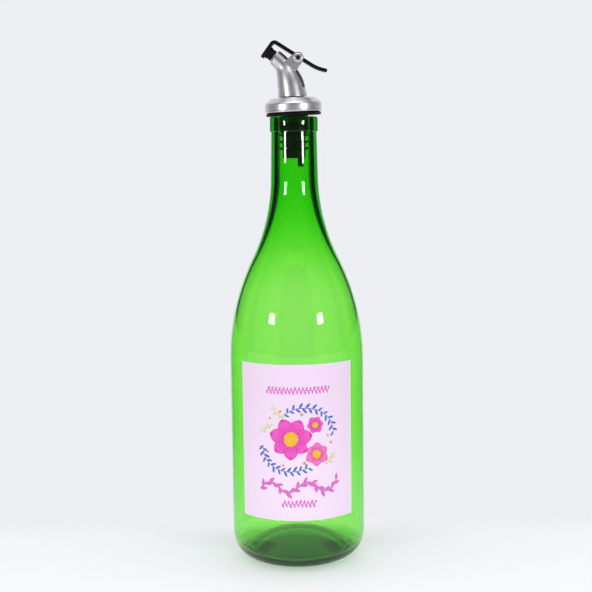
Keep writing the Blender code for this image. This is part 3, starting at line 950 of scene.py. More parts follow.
@dataclass
class Label:
    """The paper label and its print: a spray of blossoms between rows of ornament."""

    glass_radius: float = 41.75 * MM
    gap: float = 0.08 * MM
    paper: float = 0.14 * MM
    span: Point2 = (math.radians(-52.0), math.radians(50.5))
    z: Point2 = (32.6 * MM, 127.5 * MM)
    petal_spread: float = 0.07
    leaf_spread: float = 0.15
    dot: float = 0.02
    blossoms: tuple[Blossom, ...] = (
        Blossom("large", (-4.2, 82.5), 7, 12.6, 8.4, 4.0, 0.2),
        Blossom("middle", (11.4, 73.2), 6, 7.4, 5.9, 2.4, 0.5, True),
        Blossom("small", (10.6, 91.0), 6, 5.2, 4.3, 1.7, 0.1),
    )
    berries: tuple[Point2, ...] = (
        (-17.0, 95.0), (-10.5, 99.5), (2.5, 97.5), (18.5, 84.0),
        (20.5, 79.5), (3.8, 68.0), (-9.0, 66.5), (-18.8, 74.5),
    )
    sprigs: tuple[Sprig, ...] = (
        Sprig(
            "leaves_low",
            ((-22, 78), (-20.5, 71), (-16, 66), (-9, 63), (-1, 63), (6, 65)),
            21, (3.6, 1.35), 0.9, Finishes.LEAF,
        ),
        Sprig(
            "leaves_high",
            ((-8, 97.5), (-1, 101), (8, 101), (15.5, 98), (20.5, 92.5), (22.5, 86)),
            21, (3.6, 1.35), 0.9, Finishes.LEAF,
        ),
        Sprig("twig_left", ((-15, 90.5), (-18.5, 90), (-21.5, 87)), 7, (2.4, 1.0), 0.8, Finishes.TWIG, 0.4),
        Sprig("twig_top", ((-8, 95.5), (-12.5, 98), (-15.5, 102)), 7, (2.4, 1.0), 0.8, Finishes.TWIG, 0.4),
        Sprig("twig_right", ((16.5, 67.5), (19.5, 68.5), (22, 72)), 7, (2.4, 1.0), 0.8, Finishes.TWIG, 0.4),
        Sprig("border_top", ((-19, 112), (0, 112), (19, 112)), 34, (2.5, 1.25), 1.2, Finishes.FLOURISH, 0.45),
        Sprig(
            "flourish",
            (
                (-24, 51), (-20, 55), (-14, 55), (-9, 50.5), (-4, 50.5), (0, 53.5),
                (4, 56), (9, 55.5), (14, 51), (20, 51), (24, 55.5),
            ),
            24, (4.6, 2.0), 0.6, Finishes.FLOURISH, 1.2,
        ),
        Sprig("border_foot", ((-10, 43), (0, 43), (10, 43)), 18, (2.5, 1.25), 1.2, Finishes.FLOURISH, 0.45),
    )

    @property
    def face(self) -> float:
        """The radius of the paper's printed face."""
        return self.glass_radius + self.gap + self.paper

    def build_sheet(self) -> None:
        """Makes the paper."""
        rows, columns = 40, 96
        (low, high), (start, end) = self.z, self.span
        angles = [start + (end - start) * j / columns for j in range(columns + 1)]
        bm = bmesh.new()
        sheets = []
        for radius in (self.face, self.glass_radius + self.gap):
            grid = []
            for i in range(rows + 1):
                z = low + (high - low) * i / rows
                grid.append([bm.verts.new((radius * math.sin(a), -radius * math.cos(a), z)) for a in angles])
            sheets.append(grid)
        sheet_faces(bm, *sheets)
        sheet = new_object("label_sheet", bm)
        finish_piece(sheet, Finishes.PAPER, Body.BOTTLE, Slot.PAPER, "label")

    def print_ring(
        self,
        name: str,
        tree: GeometrySketch,
        mesh: bpy.types.Mesh,
        count: int,
        radius: float,
        centre: Point2,
        turn: float,
        ink: InkFinish,
        seed: int,
    ) -> None:
        """Prints one ring of strokes round a point of the sheet.

        Args:
            name: the printed piece's name.
            tree: the tree that sets the ring.
            mesh: one stroke.
            count: how many strokes there are.
            radius: the ring's radius in millimetres.
            centre: the ring's middle in millimetres.
            turn: the angle of the first stroke.
            ink: what it is printed in.
            seed: the seed of the strokes' sizes.
        """
        values = {
            "Count": count,
            "Ring radius": radius * MM,
            "Centre": (centre[0] * MM, centre[1] * MM, 0.0),
            "Start angle": turn,
            "Size spread": self.petal_spread,
            "Seed": seed,
            "Label radius": self.face,
            "Ink": Finishes.get(ink),
        }
        thing = tree.apply(name, mesh, values)
        finish_piece(thing, None, Body.BOTTLE, Slot.PAPER)

    def build_blossoms(self) -> None:
        """Prints the blossoms, each with veined petals and a golden heart."""
        tree = petal_ring_tree()
        for seed, blossom in enumerate(self.blossoms):
            name, heart, petals, place = blossom.name, blossom.heart, blossom.petals, blossom.centre
            ink = Finishes.PETAL_PALE if blossom.pale else Finishes.PETAL
            foot = 0.25 * heart
            length, width = (blossom.reach - foot) * MM, blossom.width * MM
            mesh = stroke_mesh("petal", length, width, 0.05 * MM, 1.25, 0.12)
            self.print_ring(f"blossom_{name}", tree, mesh, petals, foot, place, blossom.turn, ink, seed)
            mesh = stroke_mesh("vein", 0.62 * blossom.reach * MM, 0.26 * MM, 0.065 * MM, 0.8)
            turn = blossom.turn + math.pi / (4 * petals)
            self.print_ring(f"veins_{name}", tree, mesh, 4 * petals, foot, place, turn, Finishes.VEIN, seed)
            mesh = stroke_mesh("heart", 1.15 * heart * MM, 0.8 * heart * MM, 0.08 * MM, 1.1)
            self.print_ring(f"heart_{name}", tree, mesh, 12, self.dot, place, 0.0, Finishes.GOLD, seed)

    def build_berries(self) -> None:
        """Prints the golden berries, each a small ring of drops."""
        tree = petal_ring_tree()
        for i, centre in enumerate(self.berries):
            mesh = stroke_mesh("berry", (0.75 + 0.2 * (i % 3)) * MM, 0.8 * MM, 0.03 * MM, 1.0)
            self.print_ring(f"berry_{i}", tree, mesh, 6, self.dot, centre, 0.3 * i, Finishes.BERRY, i)

    def build_sprigs(self) -> None:
        """Prints the leafy stems, twigs, borders and the flourish."""
        tree = sprig_tree()
        for seed, sprig in enumerate(self.sprigs):
            line = spline([Vector((*p, 0)) * MM for p in sprig.points], 8)
            leaf_mesh = stroke_mesh("leaf", sprig.leaf[0] * MM, sprig.leaf[1] * MM, 0.005 * MM, 1.0)
            leaf = bpy.data.objects.new("leaf", leaf_mesh)
            bpy.context.scene.collection.objects.link(leaf)
            values = {
                "Leaves": sprig.leaves,
                "Stem width": sprig.stem * MM,
                "Splay": sprig.splay,
                "Leaf": leaf,
                "Size spread": self.leaf_spread,
                "Seed": seed,
                "Label radius": self.face,
                "Ink": Finishes.get(sprig.ink),
            }
            base = line_mesh(sprig.name, [(p.x, p.y) for p in line], PRINT_THICKNESS)
            thing = tree.apply(f"sprig_{sprig.name}", base, values)
            bpy.data.objects.remove(leaf)
            finish_piece(thing, None, Body.BOTTLE, Slot.PAPER)

    def build(self) -> None:
        """Makes the sheet and all its print."""
        self.build_sheet()
        self.build_blossoms()
        self.build_berries()
        self.build_sprigs()


# Pourer


@dataclass(frozen=True)
class PourerLean:
    """How the whole pourer stands askew on the mouth."""

    height: float = 275.4 * MM
    left: float = math.radians(2.15)
    forward: float = math.radians(2.0)

    def turn(self) -> Quaternion:
        """The lean as a rotation."""
        return Quaternion((1, 0, 0), self.forward) @ Quaternion((0, 1, 0), -self.left)

    def matrix(self) -> Matrix:
        """From the pourer's own frame to the bottle's."""
        return Matrix.Translation((0, 0, self.height)) @ self.turn().to_matrix().to_4x4()


LEAN = PourerLean()


@dataclass
class Stopper:
    """The soft black plug in the neck with its ribs, its flange and the tube below it."""

    core: float = 7.0 * MM
    foot: float = -26.5 * MM
    rib_radius: float = 9.4 * MM
    rib_top: float = -12.8 * MM
    rib_pitch: float = 4.05 * MM
    ribs: int = 3
    shoulder: float = 8.7 * MM
    flange: float = 16.8 * MM
    flange_top: float = 1.35 * MM
    head: float = 15.7 * MM
    head_side: float = 5.9 * MM
    head_top: Point2 = (12.9 * MM, 8.4 * MM)
    bend: Point2 = (-8.0 * MM, -0.5 * MM)
    cuts: Point2 = (-30.0 * MM, 12.0 * MM)
    pour_x: float = -2.4 * MM
    pour_radius: float = 3.4 * MM
    tube_x: float = 4.0 * MM
    tube_radius: float = 1.83 * MM
    tube_bore: float = 1.1 * MM
    tube_z: Point2 = (-31.6 * MM, -19.0 * MM)
    gap: float = 0.3 * MM

    def profile(self) -> list[Point2]:
        """The plug's outline from its foot up to the middle of its head.

        Returns:
            Its (radius, height) points.
        """
        points = [(0, self.foot), (self.core, self.foot)]
        for i in reversed(range(self.ribs)):
            z = self.rib_top - i * self.rib_pitch
            points += [
                (self.core, z - 0.9 * MM),
                (self.rib_radius - 0.3 * MM, z + 0.05 * MM),
                (self.rib_radius, z + 0.5 * MM),
                (self.rib_radius - 0.25 * MM, z + 0.95 * MM),
                (self.core, z + 0.9 * MM),
            ]
        points += [
            (self.shoulder, self.rib_top + 1.9 * MM),
            (self.shoulder, -0.15 * MM),
            (self.flange - 1.6 * MM, -0.2 * MM),
            (self.flange - 0.2 * MM, -0.55 * MM),
            (self.flange, 0.0),
            (self.flange, 0.9 * MM),
            (self.flange - 0.4 * MM, self.flange_top),
            (self.head, self.flange_top),
            (self.head, self.head_side),
            self.head_top,
            (0, self.head_top[1]),
        ]
        return rounded(points, 0.45 * MM, 3)

    def build_plug(self) -> None:
        """Makes the plug, upright in the neck and leaning above it, with its two bores."""
        bm = lathe(self.profile(), 96)
        for vert in bm.verts:
            share = smooth_step(*self.bend, vert.co.z)
            vert.co = Quaternion().slerp(LEAN.turn(), share) @ vert.co + Vector((0, 0, LEAN.height))
        plug = new_object("stopper_plug", bm, 40.0)
        low, top = self.cuts
        for x, radius, high in (
            (self.pour_x, self.pour_radius, top),
            (self.tube_x, self.tube_radius + self.gap / 3, self.tube_z[1] + self.gap),
        ):
            bm = rod(radius, high - low, 40)
            bmesh.ops.translate(bm, verts=bm.verts, vec=(x, 0, LEAN.height + (low + high) / 2))
            cut_or_join(plug, new_object("bore_tool", bm), "DIFFERENCE")
        finish_piece(plug, Finishes.SILICONE, Body.BOTTLE, Slot.SILICONE, "stopper", sharp=40.0)

    def build_tube(self) -> None:
        """Makes the tube below the plug."""
        low, high = (z + LEAN.height for z in self.tube_z)
        ends = 0.2 * MM
        profile = [
            (self.tube_bore, high),
            (self.tube_radius, high),
            (self.tube_radius, low + ends),
            (self.tube_radius - ends, low),
            (self.tube_bore, low),
        ]
        bm = lathe(profile, 32, closed=True)
        bmesh.ops.translate(bm, verts=bm.verts, vec=(self.tube_x, 0, 0))
        tube = new_object("breather_pipe", bm)
        finish_piece(tube, Finishes.PLASTIC, Body.BOTTLE, Slot.PLASTIC, "breather_tube")

    def build(self) -> None:
        """Makes the plug and the tube."""
        self.build_plug()
        self.build_tube()


@dataclass
class Collar:
    """The satin steel collar over the mouth."""

    radius: float = 17.3 * MM
    z: Point2 = (1.65 * MM, 6.95 * MM)
    crest: Point2 = (13.9 * MM, 10.0 * MM)
    top: float = 10.7 * MM
    hole: float = 7.2 * MM
    head: float = 15.7 * MM
    wall: float = 1.0 * MM
    roll: float = 0.75 * MM
    gap: float = 0.3 * MM

    def build(self) -> None:
        """Makes the collar."""
        (low, high), roll = self.z, self.roll
        inside = self.head + self.gap
        skin = rounded(
            [
                (self.hole, self.top),
                (self.crest[0] - 0.6 * MM, self.crest[1] + 0.12 * MM),
                (self.radius, high),
                (self.radius, low + 1.7 * roll),
            ],
            0.8 * MM,
            6,
        )
        lip = arc((self.radius - roll, low + roll), (roll, roll), math.radians(60), math.radians(-90), 10)
        lining = [
            (inside, low),
            (inside, high - self.wall + self.gap),
            (self.crest[0] - self.wall / 2, self.crest[1] - self.wall),
            (self.hole, self.top - self.wall),
        ]
        bm = lathe([*skin, *lip, *lining], 128, closed=True)
        bm.transform(LEAN.matrix())
        collar = new_object("steel_collar", bm, 40.0)
        finish_piece(collar, Finishes.STEEL, Body.BOTTLE, Slot.STEEL, "collar")


@dataclass
class Spout:
    """The bent steel spout with its ears, the black strip in its back, the soft lip and the pin."""

    edges: tuple[tuple[Point2, Point2], ...] = (
        ((-8.9, 11.0), (8.9, 11.0)),
        ((-8.85, 15.6), (8.05, 15.9)),
        ((-9.0, 20.2), (6.85, 20.9)),
        ((-9.05, 24.2), (4.7, 25.5)),
        ((-9.3, 27.0), (1.3, 30.3)),
        ((-10.8, 29.2), (-2.5, 34.9)),
        ((-12.8, 31.3), (-6.6, 38.75)),
    )
    wall: float = 1.0 * MM
    segments: int = 72
    fine: int = 20
    pin: Point2 = (4.35 * MM, 33.95 * MM)
    pin_radius: float = 1.1 * MM
    pin_length: float = 10.6 * MM
    ear_radius: float = 3.4 * MM
    ear_foot: tuple[Point2, Point2] = ((-5.2 * MM, 31.2 * MM), (3.0 * MM, 26.4 * MM))
    ear_inside: Point2 = (-2.0 * MM, 27.5 * MM)
    ear_faces: Point2 = (3.7 * MM, 5.0 * MM)
    boss: Point2 = (2.3 * MM, 0.35 * MM)
    strip_angle: float = math.radians(35.0)
    strip_span: Point2 = (1.1, 5.9)
    strip_thickness: float = 0.9 * MM
    lip_height: float = 0.5 * MM
    lip_thickness: float = 0.9 * MM
    lip_depth: float = 5.0 * MM
    voxel: float = 0.2 * MM

    def sections(self, between: int) -> list[tuple[Vector, Vector]]:
        """The spout's sections, from its foot to its mouth.

        Args:
            between: how many steps there are from each measured section to the next.

        Returns:
            A (front edge, back edge) pair for each of them.
        """
        fronts = spline([Vector((f[0], 0, f[1])) * MM for f, _ in self.edges], between)
        backs = spline([Vector((b[0], 0, b[1])) * MM for _, b in self.edges], between)
        return list(zip(fronts, backs))

    @staticmethod
    def place(front: Vector, back: Vector) -> tuple[float, Matrix]:
        """Where a section lies.

        Args:
            front: the section's front edge.
            back: its back edge.

        Returns:
            Its radius, and a matrix whose X runs to the back edge and whose Z runs along the spout.
        """
        across = (back - front).normalized()
        along = across.cross(Vector((0, 1, 0)))
        turn = Matrix((across, Vector((0, 1, 0)), along)).transposed()
        return (back - front).length / 2, Matrix.Translation((front + back) / 2) @ turn.to_4x4()

    def mouth(self) -> tuple[float, Matrix]:
        """The radius and the place of the mouth."""
        return self.place(*self.sections(2)[-1])

    def tube(self, inset: float, past: float) -> bmesh.types.BMesh:
        """What fills the spout.

        Args:
            inset: how far it stays inside the skin.
            past: how far it reaches past both ends.

        Returns:
            The closed mesh.
        """
        places = [self.place(*pair) for pair in self.sections(6)]
        rings = [circle(matrix, radius - inset, self.segments) for radius, matrix in places]
        if past:
            first, last = places[0], places[-1]
            below = Matrix.Translation((0, 0, -past)) @ first[1]
            beyond = last[1] @ Matrix.Translation((0, 0, past))
            rings.insert(0, circle(below, first[0] - inset, self.segments))
            rings.append(circle(beyond, last[0] - inset, self.segments))
        return loft(rings)

    def ear_outline(self) -> list[Point2]:
        """One ear: straight edges from its feet, tangent to its round end.

        Returns:
            Its (x, z) points.
        """
        pin = Vector(self.pin)
        tangents = []
        for foot, side in ((self.ear_foot[0], -1), (self.ear_foot[1], 1)):
            away = Vector(foot) - pin
            tangents.append(math.atan2(away.y, away.x) + side * math.acos(self.ear_radius / away.length))
        end = arc(self.pin, (self.ear_radius,) * 2, tangents[1], tangents[0] % math.tau, 24)
        return [self.ear_inside, self.ear_foot[1], *end, self.ear_foot[0]]

    def round_bar(self, name: str, radius: float, length: float, y: float = 0.0) -> bpy.types.Object:
        """A round bar along Y through the pin's place.

        Args:
            name: the bar's name.
            radius: its radius.
            length: its length.
            y: where its middle lies along Y.

        Returns:
            The new object.
        """
        bm = rod(radius, length)
        bm.transform(Matrix.Translation((self.pin[0], y, self.pin[1])) @ Matrix.Rotation(math.pi / 2, 4, "X"))
        return new_object(name, bm)

    def strip(self, name: str, grow: float) -> bpy.types.Object:
        """The strip in the spout's back, or the slot that takes it.

        Args:
            name: the object's name.
            grow: how much wider and longer than the strip it is, above 0 for the slot.

        Returns:
            The new object.
        """
        places = [self.place(*pair) for pair in self.sections(self.fine)]
        extra = round(grow / (0.25 * MM))
        first = round(self.strip_span[0] * self.fine) - extra
        last = round(self.strip_span[1] * self.fine) + extra
        angle = self.strip_angle + grow / (7 * MM)
        rings = []
        for radius, matrix in places[first : last + 1 : 2] + [places[min(last, len(places) - 1)]]:
            outer = radius + (2 * MM if grow else 0)
            inner = radius - self.strip_thickness - (0.6 * MM if grow else 0)
            turns = [angle * (k / 6 - 1) for k in range(13)]
            ring = [matrix @ Vector((outer * math.cos(t), outer * math.sin(t), 0)) for t in turns]
            ring += [matrix @ Vector((inner * math.cos(t), inner * math.sin(t), 0)) for t in reversed(turns)]
            rings.append(ring)
        return new_object(name, loft(rings))

    def settle(self, thing: bpy.types.Object) -> None:
        """Moves a piece's mesh from the pourer's own frame into the bottle's.

        Args:
            thing: the piece.
        """
        thing.data.transform(LEAN.matrix())
        thing.data.update()

    def build_shell(self) -> None:
        """Makes the cast shell with soft joins between tube, ears and bosses."""
        shell = new_object("steel_spout", self.tube(0.0, 0.0))
        tools = []
        for side in (-1, 1):
            faces = sorted(side * y for y in self.ear_faces)
            tools.append(new_object("ear_tool", plate(self.ear_outline(), *faces)))
            raised = self.ear_faces[1] + (self.boss[1] - MM) / 2
            tools.append(self.round_bar("boss_tool", self.boss[0], self.boss[1] + MM, side * raised))
        for tool in tools:
            cut_or_join(shell, tool, "UNION")
        remesh = shell.modifiers.new("cast", "REMESH")
        remesh.mode, remesh.voxel_size, remesh.adaptivity = "VOXEL", self.voxel, 0.0
        soften = shell.modifiers.new("soften", "SMOOTH")
        soften.factor, soften.iterations = 0.5, 5
        freeze(shell)
        cut_or_join(shell, new_object("channel_tool", self.tube(self.wall, MM)), "DIFFERENCE")
        cut_or_join(shell, self.strip("slot_tool", 0.25 * MM), "DIFFERENCE")
        drill = self.round_bar("drill_tool", self.pin_radius + PIN_PLAY, 14 * MM)
        cut_or_join(shell, drill, "DIFFERENCE")
        self.settle(shell)
        finish_piece(shell, Finishes.STEEL, Body.BOTTLE, Slot.STEEL, "spout", sharp=40.0)

    def build_fittings(self) -> None:
        """Makes the strip, the soft lip and the pin."""
        strip = self.strip("vent_inlay", 0.0)
        self.settle(strip)
        finish_piece(strip, Finishes.PLASTIC, Body.BOTTLE, Slot.PLASTIC, "vent_strip")

        radius, matrix = self.mouth()
        outer, half = radius - self.wall - 0.1 * MM, self.lip_thickness / 2
        edge = arc((outer - half, self.lip_height - half), (half, half), math.pi, 0, 10)
        profile = [*edge, (outer, -self.lip_depth), (outer - half, -self.lip_depth)]
        bm = lathe(profile, 48, closed=True)
        bm.transform(LEAN.matrix() @ matrix)
        lip = new_object("soft_lip", bm, 50.0)
        finish_piece(lip, Finishes.SILICONE, Body.BOTTLE, Slot.SILICONE, "mouth_lip")

        head = 0.25 * MM
        half = self.pin_length / 2
        profile = [(0, -half), (self.pin_radius - head, -half), (self.pin_radius, -half + head)]
        profile += [(self.pin_radius, half - head), (self.pin_radius - head, half), (0, half)]
        bm = lathe(profile, 32)
        middle = Matrix.Translation((self.pin[0], 0, self.pin[1]))
        bm.transform(LEAN.matrix() @ middle @ Matrix.Rotation(math.pi / 2, 4, "X"))
        pin = new_object("pivot_pin", bm)
        finish_piece(pin, Finishes.PLASTIC, Body.BOTTLE, Slot.PLASTIC, "hinge_pin")

    def build(self) -> None:
        """Makes the spout and what is set in it."""
        self.build_shell()
        self.build_fittings()


@dataclass
class Lever:
    """The black lever: an arm over the mouth, a straight bar and a curved thumb end, and its cap."""

    spout: Spout
    thickness: float = 2.2 * MM
    width: float = 6.6 * MM
    slope: float = math.radians(-34.47)
    lift: float = 0.65 * MM
    reach: float = 17.8 * MM
    arm_slope: float = math.radians(51.4)
    arm_length: float = 12.0 * MM
    corner: float = 2.1 * MM
    thumb_start: float = 9.0 * MM
    thumb_radius: float = 25.0 * MM
    thumb_turn: float = math.radians(21.5)
    hub: float = 2.5 * MM
    cap: Point2 = (3.5 * MM, 3.9 * MM)
    bevel: float = 0.3 * MM
    bend_steps: int = 14

    def line(self) -> list[Vector]:
        """The centre line: arm tip, corner, bar and thumb end.

        Returns:
            Its points as (x, z) from the pin.
        """
        along = Vector((math.cos(self.slope), math.sin(self.slope)))
        above = Vector((-along.y, along.x))
        arm = Vector((-math.cos(self.arm_slope), -math.sin(self.arm_slope)))
        corner = along * -self.reach + above * self.lift
        turn = math.pi - along.angle(arm)
        centre = corner + along * (self.corner * math.tan(turn / 2)) - above * self.corner
        start = math.atan2(above.y, above.x)
        bend = arc(centre, (self.corner,) * 2, start + turn, start, self.bend_steps)
        centre = along * self.thumb_start + above * (self.lift + self.thumb_radius)
        first = math.atan2(-above.y, -above.x)
        curve = arc(centre, (self.thumb_radius,) * 2, first, first + self.thumb_turn, 16)
        return [corner + arm * self.arm_length, *map(Vector, bend), *map(Vector, curve)]

    def swell(self, height: float) -> list[Point2]:
        """The part of the hub beyond one face of the bar.

        Args:
            height: how high above the pin the face is.

        Returns:
            The arc's points.
        """
        lift = math.asin(height / self.hub)
        end = lift if height > 0 else math.tau + lift
        return arc((0, 0), (self.hub,) * 2, self.slope + math.pi - lift, self.slope + end, 14)

    def outline(self) -> list[Point2]:
        """The lever's outline, with the hub's swell on both sides.

        Returns:
            Its points as (x, z) from the pin.
        """
        line, half = self.line(), self.thickness / 2
        upper, lower = [], []
        for i, point in enumerate(line):
            way = (line[min(i + 1, len(line) - 1)] - line[max(i - 1, 0)]).normalized()
            side = Vector((-way.y, way.x)) * half
            upper.append(tuple(point + side))
            lower.append(tuple(point - side))
        way = (line[-1] - line[-2]).normalized()
        heading = math.atan2(way.y, way.x)
        tip = arc(line[-1], (half, half), heading + math.pi / 2, heading - math.pi / 2, 12)[1:-1]
        bar = self.bend_steps + 2
        upper[bar:bar] = self.swell(self.lift + half)
        lower[bar:bar] = self.swell(self.lift - half)
        return [*upper, *tip, *reversed(lower)]

    def to_row(self) -> Matrix:
        """From the pin's own frame to the bottle's."""
        return LEAN.matrix() @ Matrix.Translation((self.spout.pin[0], 0, self.spout.pin[1]))

    def build_lever(self) -> None:
        """Makes the lever with its pin hole."""
        lever = new_object("black_lever", plate(self.outline(), -self.width / 2, self.width / 2))
        edge = lever.modifiers.new("soft edges", "BEVEL")
        edge.width, edge.segments = self.bevel, 3
        edge.limit_method, edge.angle_limit = "ANGLE", math.radians(60)
        freeze(lever)
        bm = rod(self.spout.pin_radius + PIN_PLAY, 2 * self.width)
        bm.transform(Matrix.Rotation(math.pi / 2, 4, "X"))
        cut_or_join(lever, new_object("drill_tool", bm), "DIFFERENCE")
        lever.data.transform(self.to_row())
        finish_piece(lever, Finishes.PLASTIC, Body.LEVER, Slot.PLASTIC, "lever", sharp=30.0)

    def build_cap(self) -> None:
        """Makes the cap between the lever's arm and the spout's lip."""
        _, mouth = self.spout.mouth()
        pin = Vector((self.spout.pin[0], 0, self.spout.pin[1]))
        outward = Vector((-math.sin(self.arm_slope), 0, math.cos(self.arm_slope)))
        tip = self.line()[0]
        arm_face = (pin + Vector((tip.x, 0, tip.y)) - mouth.translation).dot(outward) - self.thickness / 2
        low, high = self.spout.lip_height + 0.5 * MM, arm_face - 0.05 * MM
        narrow, wide = self.cap
        profile = [
            (0, low),
            (narrow, low),
            (narrow, low + 1.3 * MM),
            (narrow - 0.35 * MM, low + 1.9 * MM),
            (narrow, low + 2.5 * MM),
            (wide, high),
            (0, high),
        ]
        bm = lathe(rounded(profile, 0.3 * MM, 4), 64)
        bm.transform(LEAN.matrix() @ mouth)
        cap = new_object("soft_cap", bm, 45.0)
        finish_piece(cap, Finishes.SILICONE, Body.LEVER, Slot.SILICONE, "seal_cap")

    def build(self) -> None:
        """Makes the lever and the cap under its arm."""
        self.build_lever()
        self.build_cap()


# Studio


@dataclass(frozen=True)
class Softbox:
    """One soft light, placed by its direction from the bottle."""

    name: str
    azimuth: float
    elevation: float
    size: Point2
    power: float
    distance: float = 1.25

    def build(self, aim: Vector) -> None:
        """Makes the light.

        Args:
            aim: the point that it faces.
        """
        data = bpy.data.lights.new(self.name, "AREA")
        data.shape, data.size, data.size_y, data.energy = "RECTANGLE", *self.size, self.power
        light = bpy.data.objects.new(self.name, data)
        bpy.context.scene.collection.objects.link(light)
        a, e = math.radians(self.azimuth), math.radians(self.elevation)
        away = Vector((math.sin(a) * math.cos(e), -math.cos(a) * math.cos(e), math.sin(e)))
        light.location = aim + away * self.distance
        light.rotation_mode = "QUATERNION"
        light.rotation_quaternion = away.to_track_quat("Z", "Y")


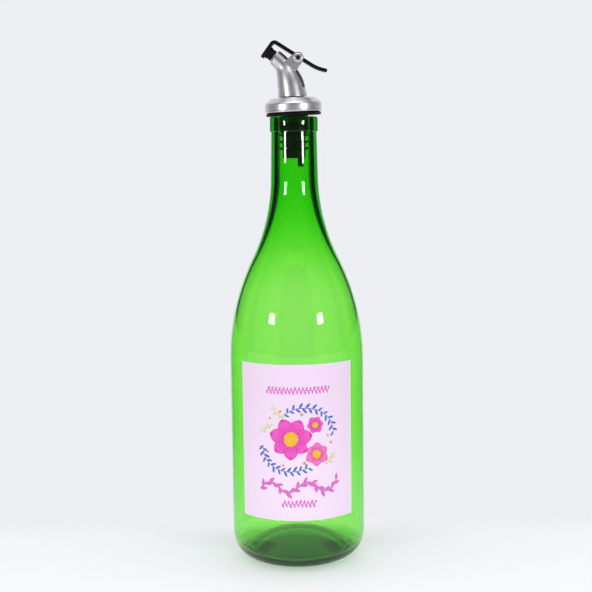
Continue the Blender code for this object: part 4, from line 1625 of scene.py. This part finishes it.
@dataclass
class Studio:
    """The pale floor, the even backdrop, the softboxes and the camera."""

    backdrop: Colour = srgb(237, 239, 243)
    floor_colour: Colour = srgb(250, 250, 252)
    aim: Vector = field(default_factory=lambda: Vector((0, 0, 0.16)))
    mirror_level: float = 0.1
    satin_bands: tuple[Point2, ...] = (
        (0, 1.0), (38, 1.0), (60, 0.6), (100, 0.25), (118, 0.3),
        (134, 0.72), (152, 0.72), (166, 0.24), (180, 0.2),
    )
    glass_level: float = 1.34
    front_level: float = 0.25
    table_rise: Point2 = (-0.34, -0.2)
    # Painted shadow: a dark green floor colour under the bottle, standing in for the light that the green
    # glass holds back; it shows only through the glass.
    painted_shadow_colour: Colour = (0.035, 0.12, 0.045)
    painted_shadow_edge: Point2 = (0.026, 0.031)
    floor_fade: Point2 = (0.022, 0.062)
    floor_drop: float = 0.3 * MM
    diffuse_level: float = 0.72
    card_azimuths: Point2 = (26.0, 70.0)
    card_heights: Point2 = (0.13, 0.5)
    card_distance: float = 0.45
    lens: float = 64.73
    eye: tuple[float, float, float] = (0.0, -0.66085, 0.2403)
    pitch: float = math.radians(90 - 6.618)
    roll: float = math.radians(-0.742)
    softboxes: tuple[Softbox, ...] = (
        Softbox("softbox_left", -45.0, 13.3, (0.108, 0.058), 0.56, 0.616),
        Softbox("softbox_right", 43.5, 13.3, (0.108, 0.058), 0.56, 0.616),
        Softbox("overhead", 0.0, 72.0, (0.9, 0.9), 6.2),
    )

    def build_world(self) -> None:
        """An even pale surround, which glossy surfaces see bright only behind the bottle."""
        world = bpy.data.worlds.new("studio")
        bpy.context.scene.world = world
        world.use_nodes = True
        sketch = NodeSketch(world.node_tree)
        place = sketch.add("ShaderNodeTexCoord").outputs["Generated"]
        direction = sketch.add("ShaderNodeSeparateXYZ", {0: place})
        azimuth = sketch.math("ABSOLUTE", sketch.math("ARCTAN2", direction.outputs[0], direction.outputs[1]))
        rays = sketch.add("ShaderNodeLightPath").outputs
        sharp = sketch.ramp(azimuth, math.radians(18), math.radians(34), 1.0, self.mirror_level)
        sharp = sketch.math("MAXIMUM", sharp, sketch.ramp(direction.outputs[2], *self.table_rise, 0.9, 0.0))
        bands = sketch.add("ShaderNodeValToRGB", {0: sketch.math("DIVIDE", azimuth, math.pi)})
        stops = bands.color_ramp.elements
        for i, (angle, level) in enumerate(self.satin_bands):
            stop = stops[i] if i < 2 else stops.new(angle / 180)
            stop.position = angle / 180
            stop.color = (level, level, level, 1.0)
        blurred = sketch.math("SUBTRACT", 1.0, rays["Is Singular Ray"])
        satin = sketch.math("MULTIPLY", bands.outputs[0], blurred)
        mirrored = sketch.math("ADD", satin, sketch.math("MULTIPLY", sharp, rays["Is Singular Ray"]))
        side, front = math.radians(60), math.radians(90)
        refracted = sketch.ramp(azimuth, side, front, self.glass_level, self.front_level)
        through = rays["Is Transmission Ray"]
        glossy = sketch.math("SUBTRACT", rays["Is Glossy Ray"], through)
        level = sketch.math("MULTIPLY", through, refracted)
        for share, amount in (
            (sketch.math("MAXIMUM", glossy, 0.0), mirrored),
            (rays["Is Diffuse Ray"], self.diffuse_level),
            (rays["Is Camera Ray"], 1.0),
        ):
            level = sketch.math("ADD", level, sketch.math("MULTIPLY", share, amount))
        sketch.feed_all(world.node_tree.nodes["Background"], {"Color": self.backdrop, "Strength": level})

    def build_cards(self) -> None:
        """Two black cards beside the backdrop that only the glass sees, at the height of its neck."""
        low, high = self.card_heights
        for side in (-1, 1):
            bm = bmesh.new()
            angles = [math.radians(azimuth) for azimuth in self.card_azimuths]
            ends = [Vector((side * math.sin(a), math.cos(a))) * self.card_distance for a in angles]
            corners = [(*ends[0], low), (*ends[1], low), (*ends[1], high), (*ends[0], high)]
            bm.faces.new([bm.verts.new(c) for c in corners])
            card = new_object("card_left" if side < 0 else "card_right", bm)
            sketch = MaterialSketch("black_card")
            sketch.surface(Base_Color=(0.004, 0.004, 0.004), Specular_IOR_Level=0.0)
            card.data.materials.append(sketch.material)
            card.visible_camera = card.visible_glossy = card.visible_diffuse = card.visible_shadow = False

    def build_floor(self) -> None:
        """A pale table that fades into the backdrop behind the bottle, with a painted green shadow under it.
        """
        bm = bmesh.new()
        bmesh.ops.create_grid(bm, x_segments=1, y_segments=1, size=2.0)
        floor = new_object("floor", bm)
        floor.location.z = -self.floor_drop
        sketch = MaterialSketch("pale_table")
        y = sketch.add("ShaderNodeSeparateXYZ", {0: sketch.place}).outputs["Y"]
        reach = sketch.add("ShaderNodeVectorMath", {0: sketch.place}, operation="LENGTH").outputs["Value"]
        # Painted shadow: inside the painted shadow edge the floor is opaque and dark green, in place of the
        # shade that the glass would cast.
        outside = sketch.ramp(reach, *self.painted_shadow_edge)
        fade = sketch.math("MULTIPLY", sketch.ramp(y, *self.floor_fade), outside)
        colour = sketch.mix(outside, self.painted_shadow_colour, self.floor_colour)
        sketch.surface(Base_Color=colour, Roughness=0.55, Specular_IOR_Level=0.25)
        clear = sketch.add("ShaderNodeBsdfTransparent")
        blend = sketch.add("ShaderNodeMixShader", {0: fade, 1: sketch.shader.outputs[0], 2: clear.outputs[0]})
        sketch.feed(sketch.output.inputs["Surface"], blend.outputs[0])
        floor.data.materials.append(sketch.material)

    def build_camera(self) -> None:
        """The camera: slightly above the neck's foot, looking a little down, and barely tilted."""
        data = bpy.data.cameras.new("camera")
        data.sensor_width, data.lens = 36.0, self.lens
        data.clip_start, data.clip_end = 0.01, 20.0
        camera = bpy.data.objects.new("camera", data)
        bpy.context.scene.collection.objects.link(camera)
        turn = Matrix.Rotation(self.pitch, 4, "X") @ Matrix.Rotation(self.roll, 4, "Z")
        camera.matrix_world = Matrix.Translation(self.eye) @ turn
        bpy.context.scene.camera = camera

    def build(self) -> None:
        """Makes the whole studio."""
        self.build_world()
        self.build_cards()
        self.build_floor()
        for softbox in self.softboxes:
            softbox.build(self.aim)
        self.build_camera()
        scene = bpy.context.scene
        scene.view_settings.view_transform = "Standard"
        scene.cycles.max_bounces = 24
        scene.cycles.transmission_bounces = 24
        scene.cycles.glossy_bounces = 8
        scene.cycles.transparent_max_bounces = 16
        scene.cycles.use_denoising = True


def main() -> None:
    """Builds the studio and each sub-assembly in order."""
    logging.basicConfig(level=logging.INFO, format="%(name)s: %(message)s")
    Studio().build()
    spout = Spout()
    for part in (GlassBottle(), Label(), Stopper(), Collar(), spout, Lever(spout)):
        part.build()
        LOG.info("%s is done", type(part).__name__)


if __name__ == "__main__":
    main()
